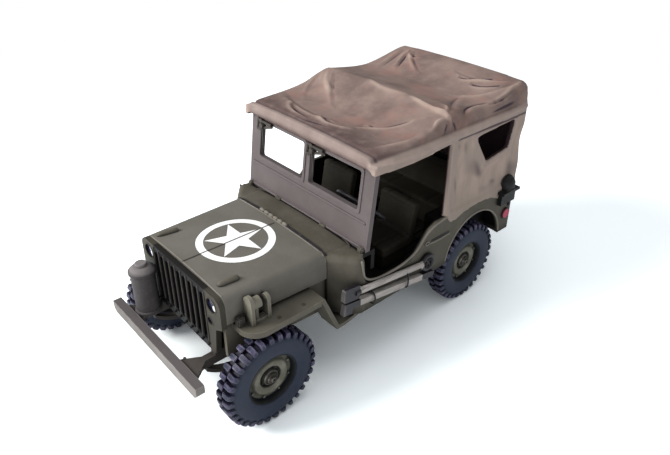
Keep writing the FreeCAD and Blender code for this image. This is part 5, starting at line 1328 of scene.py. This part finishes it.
hinge = Shape()
for number in range(KNUCKLES):
    x = FIRST_KNUCKLE + number * KNUCKLE_STEP
    hinge.tube([(x, KNUCKLE_STATION, KNUCKLE_HEIGHT), (x + KNUCKLE_LENGTH, KNUCKLE_STATION, KNUCKLE_HEIGHT)],
               KNUCKLE_RADIUS, sides=10)
hinge.tube(bonnet_line(BONNET_END, LIP_SUNK, *REAR_LINE, show_at=REAR_LIP_STATION), REAR_LIP)
hinge.tube(bonnet_line(BONNET_FRONT, FRONT_SUNK, *FRONT_LINE), FRONT_LIP)
hinge.place("bonnet_hinge", LIP_PAINT, "olive_paint")
joint = Shape().tube(bonnet_line(BONNET_END, 0.0, *REAR_LINE, show_at=JOINT_STATION), JOINT)
joint.place("bonnet_gap", BLACK, "black_paint")

COWL_GROOVE = ((7.3, 14.6, 17.93), (9.0, 14.45, 17.9), (10.3, 13.9, 17.75), (10.6, 13.0, 17.45),
               (10.35, 12.0, 17.2))
Shape().tube(softened(COWL_GROOVE), radius=0.13).mirror().place("cowl_groove", DARK_OLIVE, "olive_paint")
print("bonnet fittings", len(pads.faces) + len(hinge.faces) + len(joint.faces), "faces")

# %% [markdown]
# ## Screen fittings
#
# The screen is two panes in a leaning frame, with a ledge below them, clamps at its foot and a wiper
# over each pane. The frame leans by a few degrees, so one helper gives points on its front, and each
# rod is drawn between two of them. Drawing upright and turning the result would work as well, but
# then no point could be read off the car.

# %% On the screen
SCREEN_LEAN = math.tan(math.radians(7.0))
SCREEN_STATION, SCREEN_FOOT = 14.5, 17.8
# height, half length and thickness of the rails
RAILS = ((21.5, 11.6, 0.19), (18.15, 11.9, 0.2))
PANE_SIDES, PANE_HEIGHTS, PANE_RIM = (0.5, 10.35), (22.55, 28.0), 0.14
# middles, half width, low and high corner as (station, height), rounding
CLAMPS = (((-11.7, 11.7), 0.4, (13.95, 17.3), (14.6, 18.4), 0.15),
          ((-5.2, 4.4), 0.6, (14.1, 17.85), (14.6, 18.35), 0.12))


def on_screen(x, z, out=0.0):
    """A point on the leaning front of the screen."""
    return (x, SCREEN_STATION + (z - SCREEN_FOOT) * SCREEN_LEAN - out, z)


screen = Shape()
for height, half, thickness in RAILS:
    screen.tube([on_screen(x, height) for x in (-half, 0.0, half)], thickness, sides=10)
for sign in (1, -1):
    (near_x, far_x), (low_z, high_z) = PANE_SIDES, PANE_HEIGHTS
    screen.rods_round([on_screen(sign * near_x, low_z), on_screen(sign * far_x, low_z),
                       on_screen(sign * far_x, high_z), on_screen(sign * near_x, high_z)], PANE_RIM)
screen.place("screen_rims", SCREEN_PAINT, "olive_paint")

clamps = Shape()
for middles, half, low, high, edge in CLAMPS:
    for x in middles:
        clamps.block((x - half, *low), (x + half, *high), edge)
clamps.place("screen_clamps", OLIVE, "olive_paint")
print("screen fittings", len(screen.faces) + len(clamps.faces), "faces")

# %% The wipers' brackets and motors
BRACKETS = (-9.4, 1.4)
# corners of the triangle and the line of the arm, as (x from the bracket, height, how far it stands out)
TRIANGLE = ((-1.1, 28.15, 0.3), (-1.2, 26.75, 0.3), (1.9, 27.75, 0.3))
ARM = ((0.0, 27.6, 0.55), (0.2, 26.6, 0.5), (0.3, 24.6, 0.3))
MOTOR = [(-0.65, 0.001), (-0.65, 0.34), (-0.5, 0.42), (0.1, 0.42), (0.1, 0.001)]

brackets = Shape()
for x in BRACKETS:
    brackets.rods_round([on_screen(x + aside, z, out) for aside, z, out in TRIANGLE], radius=0.2)
    brackets.lathe(MOTOR, on_screen(x, 27.55, 0.15), "Y", steps=20)
    brackets.tube([on_screen(x + aside, z, out) for aside, z, out in ARM], radius=0.11, sides=6)
brackets.place("wiper_brackets", DARK_OLIVE, "black_paint")
print("wiper brackets", len(brackets.faces), "faces")

# %% [markdown]
# ## Nose of the car
#
# Behind the bars of the grille sits the radiator's core with its fins, painted black as the shade deep
# in the slots; a slat fills the front of each bar, and small mouldings stand at the foot of each slot. A
# texture could show the fins, but not the depth between them, so they are thin blocks in a row. The
# condenser can has a pressed rim above and below, and a sloping cap with a flat knob, all of it one
# profile on the lathe.

# %% Radiator and grille
FINS, FIRST_FIN, FIN_STEP = 33, -6.2, 0.3875
BARS, FIRST_BAR, BAR_STEP = 10, -5.85, 1.3

core = Shape().block((-6.4, -3.37, 9.9), (6.4, -3.2, 17.5), edge=0.03)
for number in range(FINS):
    x = FIRST_FIN + number * FIN_STEP
    core.block((x - 0.06, -3.46, 10.2), (x + 0.06, -3.35, 17.3), edge=0.02)
# the core is painted black: painted shade behind the slots
core.place("radiator_core", BLACK, "black_paint")

stubs, slats = Shape(), Shape()
for number in range(BARS):
    x = FIRST_BAR + number * BAR_STEP
    stubs.tube([(x, -4.1, 10.2), (x, -4.3, 10.1)], radius=0.16)
    if number < BARS - 1:
        stubs.block((x + 0.35, -4.0, 10.4), (x + 0.95, -3.5, 10.95), edge=0.1)
    slats.tube([(x, -4.12, 10.7), (x, -4.12, 17.6)], radius=0.12, up=(0, 1, 0))
stubs.place("grille_foot", GRILLE_PAINT_AND_SHADE, "olive_paint")
slats.place("grille_slats", DARK_OLIVE, "olive_paint")
print("nose", len(core.faces) + len(stubs.faces) + len(slats.faces), "faces")

# %% Can, lamp rims, fender and bumper fittings
CAN_CENTRE = (-6.05, -5.9, 0.0)
CAN_PROFILE = [(8.88, 0.001), (8.88, 1.62), (9.2, 1.66), (9.36, 1.6), (9.42, 1.47), (14.55, 1.47),
               (14.6, 1.42), (14.66, 1.42), (14.7, 1.6), (14.8, 1.66), (15.1, 1.66), (15.2, 1.6),
               (15.24, 1.5), (15.5, 1.3), (15.72, 1.02), (15.75, 0.74), (16.08, 0.72), (16.16, 0.64),
               (16.16, 0.001)]
RIM_STATION = -4.08
FENDER_RIVET, FENDER_STATIONS = [(-0.05, 0.2), (0.08, 0.2), (0.14, 0.12), (0.14, 0.001)], (2.0, 5.5)
BUMPER_BOLT, BOLTS = [(-0.05, 0.2), (0.1, 0.18), (0.12, 0.001)], ((4.9, -7.0), (7.8, -6.7))

can = Shape().lathe(CAN_PROFILE, CAN_CENTRE, "Z", steps=56)
can.place("condenser", CAN_PAINT, "olive_paint", ["condenser_can"])

rims = Shape()
for x, z, _glass, radius in LENSES:
    rims.hoop((x, RIM_STATION, z), radius, bead=0.1, axis="Y", steps=28)
rims.place("lamp_rims", GRILLE_PAINT_AND_SHADE, "olive_paint")

fender_parts = Shape().block((9.1, -2.5, 14.0), (9.95, -1.5, 15.2), edge=0.15)
for station in FENDER_STATIONS:
    fender_parts.lathe(FENDER_RIVET, (11.4, station, 14.05), "Z", steps=12)
fender_parts.place("fender_fittings", DARK_OLIVE, "olive_paint")

bumper_bolts = Shape()
for x, station in BOLTS:
    bumper_bolts.lathe(BUMPER_BOLT, (x, station, 8.9), "Z", steps=6)
bumper_bolts.mirror().place("bumper_bolts", DARK_OLIVE, "olive_paint")
print("front fittings", len(rims.faces) + len(fender_parts.faces) + len(bumper_bolts.faces), "faces")

# %% [markdown]
# ## The tub's side
#
# The doorway and the wheel arch have rolled lips, which the drybrush picks out. Behind the doorway is
# a recessed hand hold with a small loop, drawn as a black block that paints the shade in the recess,
# and leather straps hold the shovel and the axe. A lip could be bevelled out of the panel's own edge,
# but a bead along a softened path can stand proud of it, as the real rolled edge does.

# %% Lips and hand hold
DOOR_LIP = [(13.08, 13.25, 17.4), (13.08, 13.95, 13.5), (13.08, 22.6, 13.4), (13.08, 25.6, 17.0),
            (13.08, 29.4, 17.5)]
ARCH_CENTRE, ARCH_RADIUS, ARCH_STEPS, ARCH_X = (36.3, 9.1), 6.5, 26, 13.1
ARCH_FROM, ARCH_TO = math.radians(8), math.radians(172)
OUTWARD = (1, 0, 0)

turns = [ARCH_FROM + (ARCH_TO - ARCH_FROM) * k / ARCH_STEPS for k in range(ARCH_STEPS + 1)]
arch = [(ARCH_X, ARCH_CENTRE[0] + ARCH_RADIUS * math.cos(turn), ARCH_CENTRE[1] + ARCH_RADIUS * math.sin(turn))
        for turn in turns]
lips = Shape().tube(softened(DOOR_LIP, rounds=3), radius=0.17, up=OUTWARD)
lips.tube(arch, radius=0.15, up=OUTWARD)
lips.mirror().place("body_lips", LIP_PAINT, "olive_paint")

# painted shade: a black block stands for the shade in the recessed hold
hold = Shape().block((12.9, 26.3, 14.72), (13.16, 30.1, 15.02), edge=0.06)
hold.mirror().place("hand_hold", BLACK, "black_paint")
loop = Shape().tube([(13.14, 26.1, 14.55), (13.2, 28.2, 14.52), (13.14, 30.2, 14.56)], radius=0.13)
loop.hoop((13.2, 25.4, 14.85), radius=0.34, bead=0.1, axis="X", steps=12, height=0.26)
loop.mirror().place("hand_hold_lip", LIP_PAINT, "olive_paint")
print("lips and hand holds", len(lips.faces) + len(hold.faces) + len(loop.faces), "faces")

# %% Straps of the tools, and the wire round the grip
# station, low and high end
STRAPS = ((14.75, 10.6, 12.4), (20.9, 10.0, 12.7))
STRAP_WALL, STRAP_OUT, STRAP_TURN = 13.0, 14.15, 0.1
WIRE_ANGLES, WIRE_CENTRE = (20, 75, 130), (25.4, 12.0)
WIRE_NEAR, WIRE_FAR = 13.55, 13.6

straps = Shape()
for station, low, high in STRAPS:
    strap = [(STRAP_WALL, station, low), (STRAP_OUT, station, low + STRAP_TURN),
             (STRAP_OUT, station, high - STRAP_TURN), (STRAP_WALL, station, high)]
    straps.tube(softened(strap), radius=0.11, sides=6, up=(0, 1, 0))
straps.place("tool_straps", BLACK, "black_paint")

wire = Shape()
for angle in WIRE_ANGLES:
    along, rise = math.cos(math.radians(angle)), math.sin(math.radians(angle))
    wire.tube([(WIRE_NEAR, WIRE_CENTRE[0] - along, WIRE_CENTRE[1] - rise),
               (WIRE_FAR, WIRE_CENTRE[0] + along, WIRE_CENTRE[1] + rise)], radius=0.12, sides=6)
wire.place("grip_wire", BLACK, "black_paint")
print("straps and wire", len(straps.faces) + len(wire.faces), "faces")

# %% Reflectors and the antenna's base
SOCKET = [(17.25, 0.8), (17.3, 1.02), (17.5, 1.04), (17.55, 0.84), (18.3, 0.82), (18.38, 0.9), (18.55, 0.88),
          (18.62, 0.62), (19.1, 0.5), (19.16, 0.36), (19.46, 0.3), (19.48, 0.001)]
SOCKET_CENTRE = (13.5, 43.2, 0)
SOCKET_FOOT = ((13.95, 42.2, 17.32), (14.15, 43.2, 17.32), (13.95, 44.2, 17.32))
SOCKET_BOLT = [(0.0, 0.28), (0.3, 0.26), (0.36, 0.001)]
REFLECTOR_RIM, TAIL_RIM = 0.06, 0.05


def in_station(corner):
    """A corner of a CAD node in millimetres, its length counted from the front axle."""
    return corner.x / MM, corner.y / MM + ORIGIN_STATION, corner.z / MM


(_, near_y, low_z), (outer_x, far_y, high_z) = (in_station(corner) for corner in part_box("reflectors"))
centre = (outer_x - 0.12, (near_y + far_y) / 2, (low_z + high_z) / 2)
rings = Shape().hoop(centre, (high_z - low_z) / 2 + REFLECTOR_RIM, bead=0.12, axis="X").mirror()
rings.place("reflector_rims", BLACK, "black_paint")

mast = Shape().lathe(SOCKET, SOCKET_CENTRE, "Z", steps=28).tube(SOCKET_FOOT, radius=0.16)
mast.lathe(SOCKET_BOLT, (13.75, 43.4, 14.7), "X", steps=6)
mast.place("antenna_socket", ANTENNA_PAINT, "black_paint")
print("reflector at", [round(v, 2) for v in centre], "socket", len(mast.faces), "faces")

# %% [markdown]
# ## The back of the car
#
# The fuel can has a pressed frame with a cross in it, and the tail lamps have rims. The rods of the
# pressing are placed from the CAD can's own box, so they stay on its face if the can is moved.

# %% Fuel can and tail lamps
PRESSING, PRESSING_SIDE, PRESSING_FOOT, PRESSING_HEAD = 0.16, 0.7, 0.9, 2.9

(left, _, foot), (right, rear, head) = (in_station(corner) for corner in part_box("fuel_can"))
left, right = left + PRESSING_SIDE, right - PRESSING_SIDE
foot, head = foot + PRESSING_FOOT, head - PRESSING_HEAD
corners = [(left, rear, foot), (right, rear, foot), (right, rear, head), (left, rear, head)]
embossing = Shape().rods_round(corners, PRESSING)
for diagonal in (corners[0::2], corners[1::2]):
    embossing.tube(diagonal, PRESSING)
embossing.place("fuel_can_pressing", OLIVE, "olive_paint")

(left, _, low_z), (right, rear_lamp, high_z) = (in_station(corner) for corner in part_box("tail_lamps"))
reach, middle_z = (high_z - low_z) / 2, (low_z + high_z) / 2
tail = Shape()
for x in (left + reach, right - reach):
    tail.hoop((x, rear_lamp - 0.15, middle_z), reach + TAIL_RIM, bead=0.12, axis="Y")
tail.place("tail_lamp_rims", BLACK, "black_paint")
print("fuel can face", round(rear, 2), "tail lamps", round(middle_z, 2))

# %% [markdown]
# ## Inside
#
# Little shows in the dark under the canvas: round dials on the dashboard and the ribs pressed in the
# floor. Both are simple strokes that need only catch a little light, so they are kept coarse.

# %% Dials and floor ribs
# x, height and radius of each dial
DIALS = ((-0.9, 16.4, 0.75), (0.9, 16.4, 0.75), (-2.5, 15.6, 0.4), (2.5, 15.6, 0.4), (0.0, 15.6, 0.35))
DASHBOARD = 16.15
DIAL_GLASS, DIAL_WELL = 0.82, 0.78
RIBS = (4.0, 5.4, 6.8, 8.2, 9.6, 11.0)
RIB_FRONT, RIB_REAR, RIB_HEIGHT = 21.0, 34.0, 10.02

dials = Shape()
for x, z, radius in DIALS:
    profile = [(-0.05, radius), (0.12, radius), (0.14, radius * DIAL_GLASS), (0.06, radius * DIAL_WELL),
               (0.06, 0.001)]
    dials.lathe(profile, (x, DASHBOARD, z), "Y", steps=20)
dials.place("dials", BLACK, "black_paint")

ribs = Shape()
for x in RIBS:
    ribs.tube([(x, RIB_FRONT, RIB_HEIGHT), (x, RIB_REAR, RIB_HEIGHT)], radius=0.12, sides=6)
ribs.mirror().place("floor_ribs", TUB_PAINT_AND_SHADE, "olive_paint")
print("dials", len(DIALS), "ribs", 2 * len(RIBS))

# %% [markdown]
# ## Studio
#
# The model stands on a plain white table in soft light. To the camera the table is paler than it is to
# the model, which whitens the open floor without lighting the model, and the shadow stays. A painted
# shadow also darkens the floor a little where the car stands close over it, and the floor turns plain
# white far from the model, so that no horizon shows.

# %% The table
FLOOR_TO_CAMERA, FLOOR_TO_MODEL = (1.56, 1.65, 1.69), (0.78, 0.80, 0.81)
FLOOR_HALF = 1500
FLOOR_FADES = (90, 170)
NEAR_REACH, NEAR_SHADE = 16, 0.7
PAPER_GRAIN, PAPER_PALER = 20, 1.02
WHITE = (1, 1, 1, 1)


def floor():
    """The table, staged round the model; what the camera sees of it is paler than what lights the car."""
    finish = Finish("table_white")
    # painted shadow on the floor where the car stands close over it
    close = finish.hollows(NEAR_REACH).above(0.05, 0.95)
    shown = finish.mix(close, tuple(NEAR_SHADE * c for c in FLOOR_TO_CAMERA), FLOOR_TO_CAMERA)
    paler = tuple(c * PAPER_PALER for c in FLOOR_TO_MODEL)
    plain = finish.mix(finish.noise(PAPER_GRAIN), FLOOR_TO_MODEL, paler)
    camera, glossy, clear = (finish.node("ShaderNodeLightPath", output=ray)
                             for ray in ("Is Camera Ray", "Is Glossy Ray", "Is Transmission Ray"))
    in_sight = (camera + glossy + clear).clamped()
    to_camera = finish.node("ShaderNodeBsdfDiffuse", None, {"Color": shown})
    to_model = finish.node("ShaderNodeBsdfDiffuse", None, {"Color": plain})
    white = finish.node("ShaderNodeEmission", None, {"Color": WHITE, "Strength": 1.0})
    away = finish.vector("LENGTH", finish.position(), output=1).above(*FLOOR_FADES)
    seen = finish.node("ShaderNodeMixShader", None, {0: away, 1: to_camera, 2: white})
    both = finish.node("ShaderNodeMixShader", None, {0: in_sight, 1: to_model, 2: seen})
    finish.show(both, "Material Output")
    corners = [(x * FLOOR_HALF, y * FLOOR_HALF, 0) for x, y in ((-1, -1), (1, -1), (1, 1), (-1, 1))]
    mesh = mesh_of("table", corners, [(0, 1, 2, 3)])
    put_on(mesh, finish)
    table = new_object("table", mesh)
    return table


print("table", [round(v / MM) for v in floor().dimensions], "mm")

# %% Lamps and surroundings
LAMPS = (
    # name, position in mm, size in mm, energy in watts, colour
    ("key", (-100, -185, 140), 120, 0.66, (1.0, 0.985, 0.96)),
    ("top", (20, -30, 260), 200, 0.13, (1.0, 0.99, 0.98)),
    ("front fill", (150, -200, 110), 170, 0.07, (1.0, 0.99, 0.98)),
    ("side fill", (220, 40, 90), 170, 0.07, (0.96, 0.98, 1.0)),
)
LIT_POINT = Vector((0, 0, 12)) * MM
WORLD_COLOUR, WORLD_STRENGTH = (0.95, 0.975, 1.0), 0.39


def lamps():
    """Soft round lamps that all face the middle of the car."""
    for name, place, size, energy, colour in LAMPS:
        light = bpy.data.lights.new(name, "AREA")
        light.shape, light.size, light.energy, light.color = "DISK", size * MM, energy, colour
        place = Vector(place) * MM
        facing = (place - LIT_POINT).to_track_quat("Z", "Y").to_matrix().to_4x4()
        new_object(name, light).matrix_world = Matrix.Translation(place) @ facing


def surroundings():
    """White to the camera, and a softer cool grey as light."""
    world = bpy.data.worlds.new("studio")
    bpy.context.scene.world = world
    world.use_nodes = True
    sky = Nodes(world.node_tree)
    light = sky.tree.nodes["Background"]
    light.inputs["Color"].default_value = (*WORLD_COLOUR, 1)
    light.inputs["Strength"].default_value = WORLD_STRENGTH
    white = sky.node("ShaderNodeBackground", None, {"Color": WHITE, "Strength": 1.0})
    camera = sky.node("ShaderNodeLightPath", output="Is Camera Ray")
    sky.show(sky.node("ShaderNodeMixShader", None, {0: camera, 1: Mask(sky, light.outputs[0]), 2: white}),
             "World Output")


lamps()
surroundings()
bpy.context.scene.view_settings.view_transform = "Standard"
print("lamps", [row[0] for row in LAMPS], "world", WORLD_STRENGTH)
